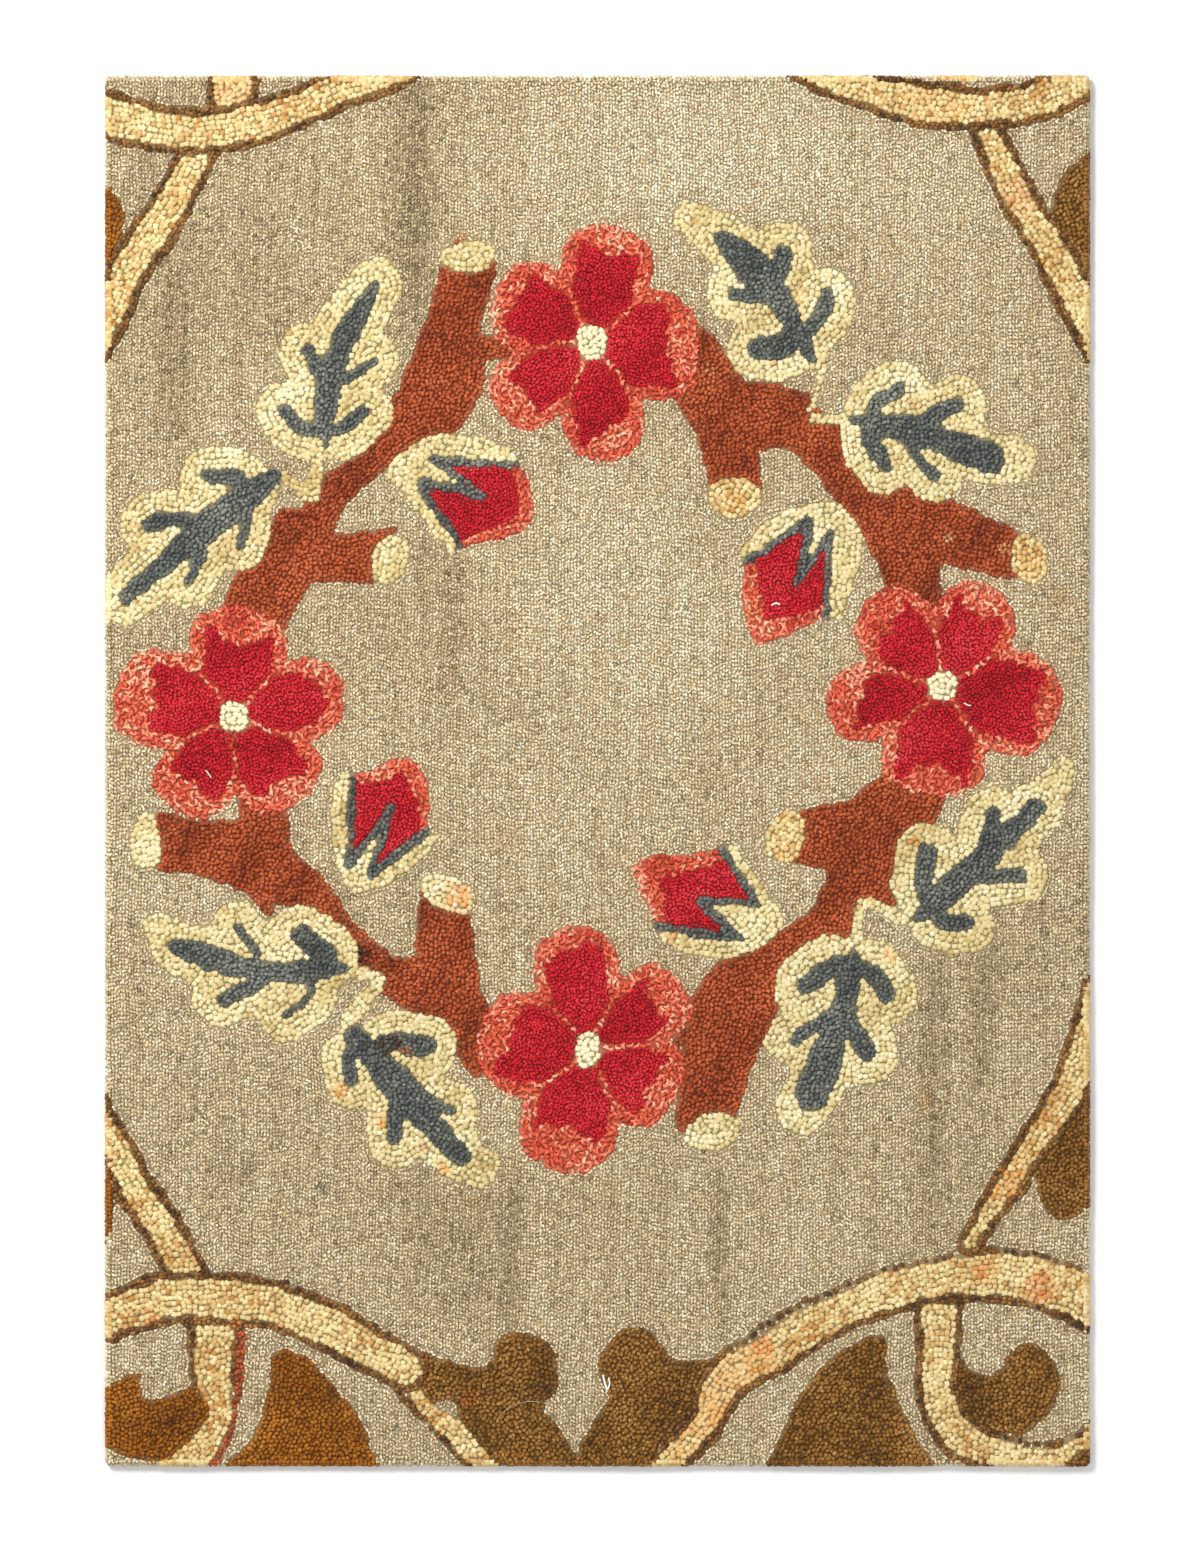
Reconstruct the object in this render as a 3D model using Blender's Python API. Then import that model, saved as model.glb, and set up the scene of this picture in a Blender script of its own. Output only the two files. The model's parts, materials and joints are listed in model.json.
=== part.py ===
"""A hooked wool rug lying flat: one cloth of looped strips on a plain-weave foundation, hem turned under.

Units are metres. +X runs across the rug, +Y along it and +Z up from the floor.
The origin is the middle of the underside.
"""
import math
from collections import namedtuple

import bmesh
import bpy

# The cloth as it lies
RUG_WIDTH = 0.701
RUG_LENGTH = 0.990
THICKNESS = 0.0085

# The rim, where the outermost loops lean out over the turned-under hem
RIM_RADIUS = 0.0045
HEM_DEPTH = 0.0020
HEM_SET_IN = 0.0015
RIM_STEPS = 3
CORNER_REACH = 0.75

# Hand-cut edges wander a little from a straight line
EDGE_WANDER = 0.0007
WANDER_LENGTH = 0.210

# Facets across and along the cloth, finer across because the troughs run lengthways
FACETS_ACROSS = 46
FACETS_ALONG = 30

# Soft lengthways troughs left by old folds, and the general unevenness of a hooked pile
Trough = namedtuple("Trough", "x y half_width half_length depth")
TROUGHS = (
    Trough(x=-0.126, y=0.395, half_width=0.016, half_length=0.150, depth=0.0015),
    Trough(x=-0.301, y=0.318, half_width=0.012, half_length=0.085, depth=0.0008),
    Trough(x=-0.103, y=0.142, half_width=0.018, half_length=0.075, depth=0.0007),
    Trough(x=-0.064, y=-0.352, half_width=0.013, half_length=0.085, depth=0.0013),
    Trough(x=0.092, y=-0.288, half_width=0.013, half_length=0.080, depth=0.0008),
    Trough(x=0.243, y=-0.236, half_width=0.014, half_length=0.115, depth=0.0014),
    Trough(x=0.266, y=-0.140, half_width=0.010, half_length=0.080, depth=0.0007),
)
SWELL_HEIGHT = 0.00035
SWELL_ACROSS = 0.155
SWELL_ALONG = 0.230

WOOL_COLOUR = (0.418, 0.352, 0.240, 1.0)
WOOL_ROUGHNESS = 0.95


def clear_scene():
    for thing in list(bpy.data.objects):
        bpy.data.objects.remove(thing, do_unlink=True)


def wool_material():
    material = bpy.data.materials.new("hooked_wool")
    material.use_nodes = True
    shader = material.node_tree.nodes["Principled BSDF"]
    shader.inputs["Base Color"].default_value = WOOL_COLOUR
    shader.inputs["Roughness"].default_value = WOOL_ROUGHNESS
    shader.inputs["Metallic"].default_value = 0.0
    return material


def edge_wander(along, phase):
    """How far an edge stands out at a place along it."""
    turn = 2 * math.pi * along / WANDER_LENGTH
    return EDGE_WANDER * 0.5 * (math.sin(turn + phase) + math.sin(1.7 * turn + 2.3 * phase))


def pile_top(x, y):
    """Height of the tops of the loops above the floor."""
    height = THICKNESS
    height += SWELL_HEIGHT * math.sin(2 * math.pi * x / SWELL_ACROSS + 0.8)
    height += SWELL_HEIGHT * math.sin(2 * math.pi * y / SWELL_ALONG + 4.0 * x / RUG_WIDTH)
    for trough in TROUGHS:
        across = (x - trough.x) / trough.half_width
        along = (y - trough.y) / trough.half_length
        height -= trough.depth * math.exp(-across ** 2 - along ** 4)
    return height


def lay_pile(mesh):
    """Shapes a unit grid into the top of the rug, inside the rim."""
    bmesh.ops.create_grid(mesh, x_segments=FACETS_ACROSS, y_segments=FACETS_ALONG, size=1.0)
    for vert in mesh.verts:
        across, along = vert.co.x, vert.co.y
        y = along * (RUG_LENGTH / 2 - RIM_RADIUS)
        x = across * (RUG_WIDTH / 2 - RIM_RADIUS)
        vert.co.x = x + across * edge_wander(y, 1.0 + across)
        vert.co.y = y + along * edge_wander(x, 4.0 + along)
        vert.co.z = pile_top(vert.co.x, vert.co.y)


def outward_ways(verts):
    """The way that each vertex of the rim faces: straight out from its side, or slantwise at a corner."""
    half_width = max(vert.co.x for vert in verts) - 2 * EDGE_WANDER
    half_length = max(vert.co.y for vert in verts) - 2 * EDGE_WANDER
    ways = {}
    for vert in verts:
        on_side = abs(vert.co.x) > half_width
        on_end = abs(vert.co.y) > half_length
        reach = CORNER_REACH if on_side and on_end else 1.0
        ways[vert] = (
            math.copysign(reach, vert.co.x) if on_side else 0.0,
            math.copysign(reach, vert.co.y) if on_end else 0.0,
        )
    return ways


def rim_profile():
    """Rings from the pile's edge to the floor: how far out each stands, its drop from the pile or its height."""
    rings = []
    for step in range(1, RIM_STEPS + 1):
        angle = math.pi / 2 * step / RIM_STEPS
        rings.append((RIM_RADIUS * math.sin(angle), RIM_RADIUS * (1 - math.cos(angle)), None))
    rings.append((RIM_RADIUS, None, HEM_DEPTH))
    rings.append((RIM_RADIUS - HEM_SET_IN, None, 0.0))
    return rings


def turn_rim_under(mesh):
    """Carries the pile's edge out, round and down to the floor, and returns the last ring of edges."""
    ring = [edge for edge in mesh.edges if edge.is_boundary]
    ways = outward_ways({vert for edge in ring for vert in edge.verts})
    homes = {vert: vert.co.copy() for vert in ways}
    for set_out, drop, height in rim_profile():
        made = bmesh.ops.extrude_edge_only(mesh, edges=ring)["geom"]
        above = {
            vert: min(ways, key=lambda other: (other.co - vert.co).length_squared)
            for vert in made if isinstance(vert, bmesh.types.BMVert)
        }
        ways = {vert: ways[old] for vert, old in above.items()}
        homes = {vert: homes[old] for vert, old in above.items()}
        for vert, way in ways.items():
            vert.co.x = homes[vert].x + way[0] * set_out
            vert.co.y = homes[vert].y + way[1] * set_out
            vert.co.z = homes[vert].z - drop if height is None else height
        ring = [edge for edge in made if isinstance(edge, bmesh.types.BMEdge) and edge.is_boundary]
    return ring


def build_rug(collection):
    mesh = bmesh.new()
    lay_pile(mesh)
    underside = turn_rim_under(mesh)
    bmesh.ops.contextual_create(mesh, geom=underside)
    bmesh.ops.recalc_face_normals(mesh, faces=mesh.faces)
    data = bpy.data.meshes.new("hooked_rug")
    mesh.to_mesh(data)
    mesh.free()
    data.shade_smooth()
    data.set_sharp_from_angle(angle=math.radians(40))
    data.materials.append(wool_material())
    rug = bpy.data.objects.new("hooked_rug", data)
    collection.objects.link(rug)
    return rug


def main():
    clear_scene()
    collection = bpy.data.collections.new("hooked_rug")
    bpy.context.scene.collection.children.link(collection)
    build_rug(collection)


main()
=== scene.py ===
"""Looks of a hooked wool rug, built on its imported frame.

The pattern is charted in millimetres from the middle of the rug, x across it and y towards its top, and
painted wool by wool on a fine grid of cells. Loops of wool strip are then set out in rows over the area of
each wool, the way a rug is hooked, and joined into one mesh for each wool.
"""
import json
import math
from collections import namedtuple
from functools import lru_cache

import bmesh
import bpy
import numpy as np
from mathutils import Matrix, Vector
from mathutils.bvhtree import BVHTree

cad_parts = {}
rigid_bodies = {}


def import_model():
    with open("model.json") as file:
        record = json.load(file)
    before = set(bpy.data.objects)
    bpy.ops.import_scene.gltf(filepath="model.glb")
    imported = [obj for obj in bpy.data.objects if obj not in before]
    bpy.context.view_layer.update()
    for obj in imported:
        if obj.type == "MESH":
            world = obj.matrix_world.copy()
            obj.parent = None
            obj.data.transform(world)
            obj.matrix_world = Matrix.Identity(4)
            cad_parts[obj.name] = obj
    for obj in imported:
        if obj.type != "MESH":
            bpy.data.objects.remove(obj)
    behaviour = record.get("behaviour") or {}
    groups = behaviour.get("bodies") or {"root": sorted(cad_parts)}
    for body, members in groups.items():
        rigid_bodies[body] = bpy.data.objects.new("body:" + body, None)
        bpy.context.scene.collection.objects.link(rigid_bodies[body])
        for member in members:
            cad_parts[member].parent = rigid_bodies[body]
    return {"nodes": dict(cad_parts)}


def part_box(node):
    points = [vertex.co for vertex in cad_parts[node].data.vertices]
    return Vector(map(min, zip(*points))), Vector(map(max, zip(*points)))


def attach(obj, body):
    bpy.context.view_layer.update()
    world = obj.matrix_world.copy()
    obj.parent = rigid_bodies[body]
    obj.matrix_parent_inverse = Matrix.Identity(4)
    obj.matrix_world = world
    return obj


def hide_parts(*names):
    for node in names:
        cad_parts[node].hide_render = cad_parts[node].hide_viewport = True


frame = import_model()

bl_info = {
    "name": "Hooked Rug",
    "version": (1, 0, 0),
    "blender": (4, 5, 0),
    "location": "3D View > Sidebar > Rug",
    "description": "Hooks a wool rug loop by loop on its frame",
    "category": "Object",
}

MM = 0.001
NODE = "hooked_rug"
RUG_LOW, RUG_HIGH = (Vector(corner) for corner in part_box(NODE))
HALF_WIDTH = (RUG_HIGH.x - RUG_LOW.x) / 2 / MM
HALF_LENGTH = (RUG_HIGH.y - RUG_LOW.y) / 2 / MM
PILE_HEIGHT = RUG_HIGH.z / MM
CORNERS = ((1, 1), (-1, 1), (-1, -1), (1, -1))
SEED = 41

# The rim of the frame is a quarter round, over which the outermost loops lean: the tilts of their rows, the
# distance from loop to loop and how far they stray
RIM = 4.5
RIM_ROWS = (0.27, 0.80, 1.33)
RIM_STEP = 2.9
RIM_STRAY = 0.15

# The chart: its margin round the rug, its cells, those of the finer grid for the loops, a number of cells
# that no side of it has, and the margin of the flat texture
CHART_MARGIN = 9.0
CELL = 1.0
FINE_CELL = 0.5
FAR = 9999
UV_MARGIN = 4

# The ground is hooked in parts, over a little more than the rug's width
GROUND_PARTS = 3
PARTS_MARGIN = 10.0

# Slabs under the loops: step of the grid, level of the flat side, and share of the wools' colours. The
# colours are blended from places at these distances round each point.
Slab = namedtuple("Slab", "name grid level share")
# The packed pile's share of a half is painted shade: the depths between the loops are drawn darker than the
# wool.
PACKED = Slab("packed_pile", 6.0, 2.1, 0.50)
BACKS = Slab("strip_backs", 6.2, 1.55, 0.80)
BLEND = (-1.6, 0.0, 1.6)
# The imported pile's rim: how far out it stands and how far it drops
PACKED_RIM = ((2.2, 0.9), (3.1, 2.6))
# The backs of the strips: gap to the hem, middle height, swell and its scale, and lowest and highest place
BACK_GAP = 0.5
BACK_HEIGHTS = (0.14, 0.12, 40)
BACK_LIMITS = (0.02, 0.4)

# The foundation's fold, as insets from the rug's edge and heights: over the edge and under it, round the
# hem's raw edge by insets from the hem's width, and back inside the hem
FOLD_OUTSIDE = ((9.0, 2.25), (3.0, 2.25), (1.8, 2.0), (1.3, 1.3), (1.8, 0.55), (3.0, 0.12))
RAW_EDGE = ((0.0, 0.12), (0.3, 0.55), (0.0, 1.0))
FOLD_INSIDE = ((3.6, 1.0), (3.2, 1.18), (3.6, 1.35), (20.0, 1.35))
CORNER_RADIUS, LEAST_RADIUS, CORNER_STEPS = 6.0, 0.6, 3

# Whip stitches: how far from a corner they start, pitch, slant and its spread, height and size
WHIP_START, WHIP_PITCH = 6, 11.0
WHIP_SLANT, WHIP_UNEVEN = 0.5, 0.08
WHIP_HEIGHT = 0.02
WHIP_SIZE = (6.5, 1.0, 0.9)

# Soft lamps: name, place, width of the disk and power
LAMPS = (
    ("window", (-1.6, 1.8, 2.6), 1.2, 115),
    ("fill", (1.8, -1.4, 2.8), 2.6, 32),
)
WORLD_STRENGTH = 0.48
FLOOR_SIZE = 4.0

# The photograph's frame, the size of a pixel of it on the rug, its middle from the rug's, and the lens
FRAME_PIXELS = (1200, 1544)
PIXEL = 0.712
FRAME_MIDDLE = (2.5, -1.0)
LENS = 90.0
SENSOR = 24.0

# Hand-drawn lines wander in four sizes of wave: how far and over what length. They add up to less than
# STRAY. For the wander across and then along: a wave's length as a share, how much the place in the other
# direction bends it and over what share of the length, and its shift.
WANDERS = ((1.0, 14.0), (0.7, 4.6), (0.5, 2.3), (0.75, 1.0))
WANDER_SHARES = ((1.0, 1.7, 1.3, 0.4), (0.9, 1.6, 1.2, 1.0))
STRAY = 3.0

# A wool's rows: distance between rows, step along a row, depth of its crowns, the shape of its loops, its
# colours and their spread, how deep its rows go, and how far a loop strays and twists
Wool = namedtuple("Wool", "slot row step crown shape mid light dark spread reach stray twist")
WOOLS = {
    "ground": Wool(
        "ground_wool", 2.20, 2.80, 1.7, "ridge", "#e3cda3", "#fff9de", "#8f7b55", 0.27, 6, 0.24, 0.60),
    "cream": Wool(
        "cream_wool", 3.60, 4.20, 2.3, "brick", "#dccb95", "#ebe2bd", "#bfa468", 0.32, 26, 0.42, 0.45),
    "gold": Wool(
        "cream_wool", 3.55, 4.00, 2.3, "brick", "#d9bf84", "#ead9a4", "#bd8745", 0.46, 20, 0.42, 0.42),
    "coral": Wool(
        "coral_wool", 2.85, 4.20, 2.0, "curl", "#ee6f50", "#ffc6a0", "#c23a2b", 0.38, 30, 0.50, 0.80),
    "red": Wool(
        "red_wool", 2.40, 2.70, 1.4, "ridge", "#d92430", "#ee4a50", "#9c141e", 0.24, 40, 0.40, 0.80),
    "rust": Wool(
        "rust_wool", 2.90, 3.40, 2.1, "pillow", "#aa4e29", "#c8683c", "#68270d", 0.28, 40, 0.50, 0.70),
    "slate": Wool(
        "slate_wool", 3.10, 3.50, 2.2, "pillow", "#656862", "#8c8d80", "#3c4040", 0.32, 14, 0.45, 0.60),
    "brown": Wool(
        "brown_wool", 2.85, 3.30, 2.0, "pillow", "#7d5223", "#a4743b", "#482f18", 0.55, 5, 0.30, 0.30),
    "ochre": Wool(
        "brown_wool", 2.90, 3.30, 2.0, "pillow", "#985a11", "#bd7a2a", "#62360b", 0.26, 40, 0.50, 0.80),
    "olive": Wool(
        "brown_wool", 2.90, 3.30, 2.0, "pillow", "#8a5e26", "#ac7e40", "#533512", 0.34, 40, 0.50, 0.70),
}
WOOL_NAMES = tuple(WOOLS)
# Number of the chart's cells that hold a single row of loops
LINE = 200

# What the panel has of each wool: key, label and description
WOOL_SIZES = (
    ("row", "rows", "Distance between rows of {} loops"),
    ("step", "step", "Distance from loop to loop in a row of {}"),
    ("crown", "crowns", "Depth of the {} crowns"),
)
WOOL_COLOURS = (
    ("mid", "wool", "Usual colour of the {} wool"),
    ("light", "light", "Palest {} wool"),
    ("dark", "dark", "Darkest {} wool"),
)

# Surfaces of the wools: size of the flecks and how much they differ, size and relief of the fibres, and
# sheen. Sizes are in millimetres. The real fibres are 0.03 mm, drawn 10 times as coarse to show.
Cloth = namedtuple("Cloth", "fleck_mm fleck fibre_mm fibre_bump sheen")
CLOTHS = {
    "ground": Cloth(1.2, 0.50, 0.40, 0.5, 0.05),
    "cream": Cloth(1.8, 0.06, 0.45, 0.5, 0.05),
    "gold": Cloth(1.8, 0.12, 0.45, 0.5, 0.05),
    "coral": Cloth(1.3, 0.16, 0.40, 0.6, 0.05),
    "red": Cloth(1.2, 0.26, 0.35, 0.6, 0.03),
    "rust": Cloth(1.2, 0.28, 0.40, 0.6, 0.06),
    "slate": Cloth(1.2, 0.28, 0.40, 0.6, 0.08),
    "brown": Cloth(1.3, 0.20, 0.40, 0.6, 0.10),
    "ochre": Cloth(1.2, 0.30, 0.40, 0.6, 0.06),
    "olive": Cloth(1.2, 0.34, 0.40, 0.6, 0.06),
    "packed": Cloth(1.3, 0.25, 0.40, 0.5, 0.0),
    "backs": Cloth(1.3, 0.22, 0.40, 0.5, 0.05),
    "loose end": Cloth(1.5, 0.05, 0.40, 0.3, 0.20),
}

# Rows of loops: how unevenly they are stepped, how far ahead and behind a loop takes its way from, how many
# points of a line are evened out together, and the fewest that make a row
UNEVEN = 0.12
LOOK_AHEAD = 1.2
EVENED = 5
FEWEST_POINTS = 4
# Shares of the row and step: the least distance between loops, how far each covers the cloth, how deep a
# bare place lies, and how deep the ground's straight rows begin
CLOSEST = 0.60
MOTIF_COVER, GROUND_COVER = 0.37, 0.42
MOTIF_BARE, GROUND_BARE = 0.30, 0.35
FIRST_STRAIGHT = 1.25
# Shares of the width of a single row: its step, the least distance between its loops and their cover
LINE_STEP, LINE_CLOSEST, LINE_COVER = 1.25, 0.5, 0.8
# How far ground loops stray round the pattern and along the straight rows. These rows sway in two waves:
# how far and over what length along the rug and across it, the slow one bent.
EDGE_STRAY, STEP_STRAY = 0.35, 0.22
SLOW_SWAY = (1.6, 61, 0.9, 83)
QUICK_SWAY = (0.6, 23, 37)

# Shapes of loops. Crowns are shares of the foot along and across the row. A brick has round shoulders and
# a flat top, and a curl is a bent three-sided strip.
CROWNS = {"ridge": (0.5, 0.0), "pillow": (0.60, 0.50), "brick": (0.92, 0.92)}
BRICK_SHOULDER, BRICK_INSET = 0.45, 0.20
CURL_RADIUS, CURL_WIDTH = 0.62, 0.90
CURL_BEND, CURL_DROOP = 1.2, 1.1
# How a loop fills its step, row and depth, and the spreads of its size, lean and height
LOOP_FILL = (1.08, 1.10, 1.0)
LOOP_SPREAD, LEAN, CROWN_UNEVEN = 0.10, 0.10, 0.16
# Painted light and shade of each loop: the tone of its crown, painted lighter, and how much darker its foot
# is painted, as shade deep in the pile between the loops
PAINTED_CROWN_LIGHT, PAINTED_FOOT_SHADE = 1.06, 0.50

# Soft noise: how many waves, the spread of their lengths, and what brings their sum to about one
NOISE_WAVES = 7
NOISE_LENGTHS = (0.6, 1.6)
NOISE_SUM = 2.65
# Fading: strength and scale, and for the ground how much its pattern is squeezed across
MOTIF_FADING = (0.30, 60)
GROUND_FADING = ((0.05, 1, 160), (0.05, 3, 110))
# Strips of the ground's rows: length, shift from row to row and tone, and numbers that scatter the tone
STRIP_LENGTH, STRIP_SHIFT, STRIP_TONE = 130, 1.85, 0.15
HASH = (12.9898, 78.233, 37.719, 43758.5453)
# The paler wool of the flowers' eyes, and the soft edge and uneven strength of the spots
EYE_REACH, EYE_PALER = 1.6, 0.75
SPOT_EDGE, SPOT_SLOPE = 1.25, 2.2
SPOT_SHARES = (0.25, 1.0)

# Five-petalled flowers: middle and half height of the eye, then each petal by the ways of its two sides in
# degrees and its length, with its red heart: how far that stops short, how deep it is split and how much it
# leans to one side
Flower = namedtuple("Flower", "x y eye petals")
Petal = namedtuple("Petal", "side end length tip split lean")
FLOWERS = (
    Flower(-4.6, 304.8, 13.0, (
        Petal(42, 114, 86, 17, 3, 0), Petal(114, 186, 77, 15, 2, 2), Petal(186, 246, 82, 19, 4, 0),
        Petal(246, 312, 84, 21, 0, -14), Petal(312, 402, 77, 18, 4, -5),
    )),
    Flower(245.3, 60.6, 10.3, (
        Petal(30, 96, 78, 14, 9, -2), Petal(96, 162, 80, 23, 2, -8), Petal(162, 222, 84, 25, 0, 13),
        Petal(222, 306, 77, 9, 11, 0), Petal(306, 390, 85, 13, 4, 0),
    )),
    Flower(-6.0, -198.6, 12.5, (
        Petal(6, 66, 82, 22, 3, 3), Petal(66, 132, 88, 18, -4, -3), Petal(132, 216, 79, 20, 2, 13),
        Petal(216, 294, 89, 25, 6, 2), Petal(294, 366, 70, 17, 2, -3),
    )),
    Flower(-258.1, 37.8, 10.3, (
        Petal(48, 126, 80, 19, 8, 2), Petal(126, 204, 87, 25, 4, -5), Petal(204, 270, 77, 19, 4, 0),
        Petal(270, 342, 76, 17, 3, 2), Petal(342, 408, 79, 22, -8, 0),
    )),
)
# Half width of the eye, and a distance within which all of a flower lies
FLOWER_EYE = 9.8
FLOWER_REACH = 97.0
# Petals: where one is broadest, the shares of its length before and after its shoulders and how blunt it
# ends, the coral beside its heart and between petals, and how far out the line between them runs
PETAL_BREADTH = 55.0
PETAL_SHOULDER, PETAL_END, PETAL_BLUNT = 0.55, 0.45, 3.5
PETAL_SIDE = 10.0
PETAL_LINE = 3.8
PETAL_LINE_END = 45.0
# Hearts against their petals: length and slope, jags of the edge and narrowness of the split
HEART_LENGTH, HEART_SLOPE = 1.1, 0.94
JAG_DEPTH, JAG_TURN = 2.2, 0.42
SPLIT_SLOPE = 3.2

# Leaves: foot and tip of the slate midrib, its bow to the left, widths along it and the cream tip with its
# half width, then the side veins, each by its start along the midrib, its end and its width
Leaf = namedtuple("Leaf", "foot tip bow widths point veins")
Vein = namedtuple("Vein", "start x y width")
LEAVES = (
    Leaf((-195, 231), (-157, 346), 12, (3, 19, 15, 15, 6), (-149, 359, 4.5), (
        Vein(0.10, -227, 259, 10), Vein(0.10, -161, 257, 10), Vein(0.42, -209, 303, 12),
        Vein(0.38, -155, 293, 8),
    )),
    Leaf((-231, 208), (-335, 123), -4, (13, 20, 19, 13, 12), (-350, 112, 6), (
        Vein(0.17, -281, 213, 13), Vein(0.45, -325, 177, 11), Vein(0.22, -254, 157, 7),
        Vein(0.46, -293, 131, 9),
    )),
    Leaf((154, 292), (91, 379), -6, (5, 15, 18, 26, 13), (66, 393, 13), (
        Vein(0.20, 166, 342, 11), Vein(0.22, 107, 298, 18), Vein(0.55, 133, 376, 13),
        Vein(0.47, 92, 341, 8),
    )),
    Leaf((182, 251), (279, 222), 4, (4, 17, 17, 21, 24), (296, 222, 17), (
        Vein(0.12, 219, 275, 10), Vein(0.44, 262, 263, 12), Vein(0.14, 207, 212, 14),
        Vein(0.38, 243, 207, 8),
    )),
    Leaf((225, -106), (314, -26), -1, (4, 19, 19, 17, 13), (332, 2, 7.5), (
        Vein(0.14, 234, -52, 13), Vein(0.58, 283, -27, 12), Vein(0.44, 305, -74, 12),
        Vein(0.14, 267, -112, 14),
    )),
    Leaf((182, -124), (152, -230), 5, (3, 15, 20, 25, 23), (147, -240, 19), (
        Vein(0.12, 143, -156, 14), Vein(0.14, 212, -163, 14), Vein(0.44, 136, -194, 11),
        Vein(0.46, 196, -206, 13),
    )),
    Leaf((-181, -141), (-298, -126), 8, (7, 16, 12, 17, 14), (-311, -113, 12), (
        Vein(0.10, -215, -112, 17), Vein(0.50, -258, -109, 6), Vein(0.44, -272, -165, 12),
        Vein(0.16, -224, -178, 6),
    )),
    Leaf((-173, -189), (-98, -275), 1, (14, 21, 25, 18, 14), (-84, -283, 15), (
        Vein(0.08, -177, -225, 11), Vein(0.14, -115, -196, 14), Vein(0.50, -101, -242, 8),
        Vein(0.44, -145, -268, 11),
    )),
)
# Half widths of the cream body along the midrib, the cream edge outside a side vein and its share at three
# places along it, the share of the vein's own half width there, how far it stops short, and its bow
LEAF_BODY = (7, 24.8, 23.8, 22.8, 18.8)
LEAF_EDGE = 15.8
LOBE_TAPER = (0.6, 1.0, 0.97)
VEIN_TAPER = (0.8, 1.0, 0.92)
VEIN_SHORT, VEIN_BOW = 0.9, 0.06

# Buds: foot, tips of the three cream sepals, the two notches between them, outer bends of the husk on
# either side, crown of the red body and the breadth of its coral rim
Bud = namedtuple("Bud", "foot sepals notches bends crown rim")
BUDS = (
    Bud((-150, 213), ((-57, 219), (-82, 195), (-98, 160)), ((-117, 222), (-126, 206)),
        ((-76, 236), (-118, 239), (-131, 191), (-112, 164)), ((-50, 207), (-46, 180), (-66, 166)), 12),
    Bud((174, 189), ((106, 149), (141, 133), (162, 109)), ((151, 178), (165, 171)),
        ((118, 174), (147, 188), (190, 163), (178, 121)), ((104, 130), (109, 94), (131, 94)), 17),
    Bud((-170, -87), ((-175, -3), (-147, -26), (-121, -42)), ((-177, -69), (-161, -74)),
        ((-189, -14), (-188, -62), (-143, -75), (-115, -52)), ((-158, 2), (-134, 10), (-119, -16)), 13),
    Bud((132, -107), ((88, -55), (71, -93), (42, -111)), ((114, -93), (101, -120)),
        ((105, -61), (122, -88), (113, -129), (69, -131)), ((62, -59), (29, -66), (34, -92)), 16),
)
BUD_LINE = 5.8
# The rim's swell over the crown: the span of it that shows, how blunt it is, and how far it is set in
RIM_SPAN = (0.12, 0.88)
RIM_BLUNT = 0.6
RIM_SET_IN = 2.0

# Branches of rust wool: strokes through points with a half width at each
BRANCHES = (
    ((-91.5, 360, 20), (-103.6, 314, 19), (-110, 274, 28), (-142, 240, 16), (-178, 208, 12),
     (-202, 184, 17), (-218, 159, 23), (-243, 112, 24)),
    ((-98, 301, 15), (-75, 301, 8), (-57, 302, 1)),
    ((-205, 153, 17), (-178, 151, 17), (-154, 150, 17)),
    ((-168, 161, 10), (-141, 174, 1)),
    ((-314, -50, 20), (-279, -56, 20), (-247, -62, 23), (-218, -79, 18), (-193, -96, 10),
     (-176, -120, 10), (-151, -143, 13), (-119, -157, 21), (-94, -179, 20), (-86, -215, 4)),
    ((-239, -18, 18), (-237, -56, 20)),
    ((-239, -83, 11), (-232, -106, 1)),
    ((-110, -93, 18), (-107, -156, 23)),
    ((72, 303, 13), (77, 275, 23), (98, 251, 26), (130, 253, 21), (160, 236, 19), (188, 207, 24),
     (219, 182, 28), (255, 168, 21), (299, 153, 18)),
    ((217, 172, 26), (228, 118, 16)),
    ((93, 243, 24), (99, 198, 18)),
    ((226, -15, 22), (203, -43, 32), (193, -72, 28), (178, -98, 23), (153, -119, 17), (125, -138, 20),
     (100, -162, 29), (89, -195, 27), (76, -249, 19)),
    ((194, -48, 27), (143, -47, 19)),
    ((86, -178, 14), (68, -188, 7), (47, -198, 1)),
)

# Sawn ends of the branches: middle, half sizes and turn in degrees
CutEnd = namedtuple("CutEnd", "x y along across turn wool")
CUT_ENDS = (
    CutEnd(-91.5, 366.0, 20.0, 12.5, 8, "cream"),
    CutEnd(-147.5, 149.5, 12.5, 20.0, -14, "cream"),
    CutEnd(-321.0, -50.0, 11.5, 19.5, 4, "cream"),
    CutEnd(-107.0, -87.5, 21.5, 13.0, -22, "cream"),
    CutEnd(98.0, 194.5, 19.0, 13.5, -6, "gold"),
    CutEnd(307.0, 151.5, 13.0, 20.0, 8, "gold"),
    CutEnd(135.0, -47.0, 14.0, 20.0, -16, "gold"),
    CutEnd(82.0, -257.5, 20.0, 13.5, 14, "cream"),
)

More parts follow.
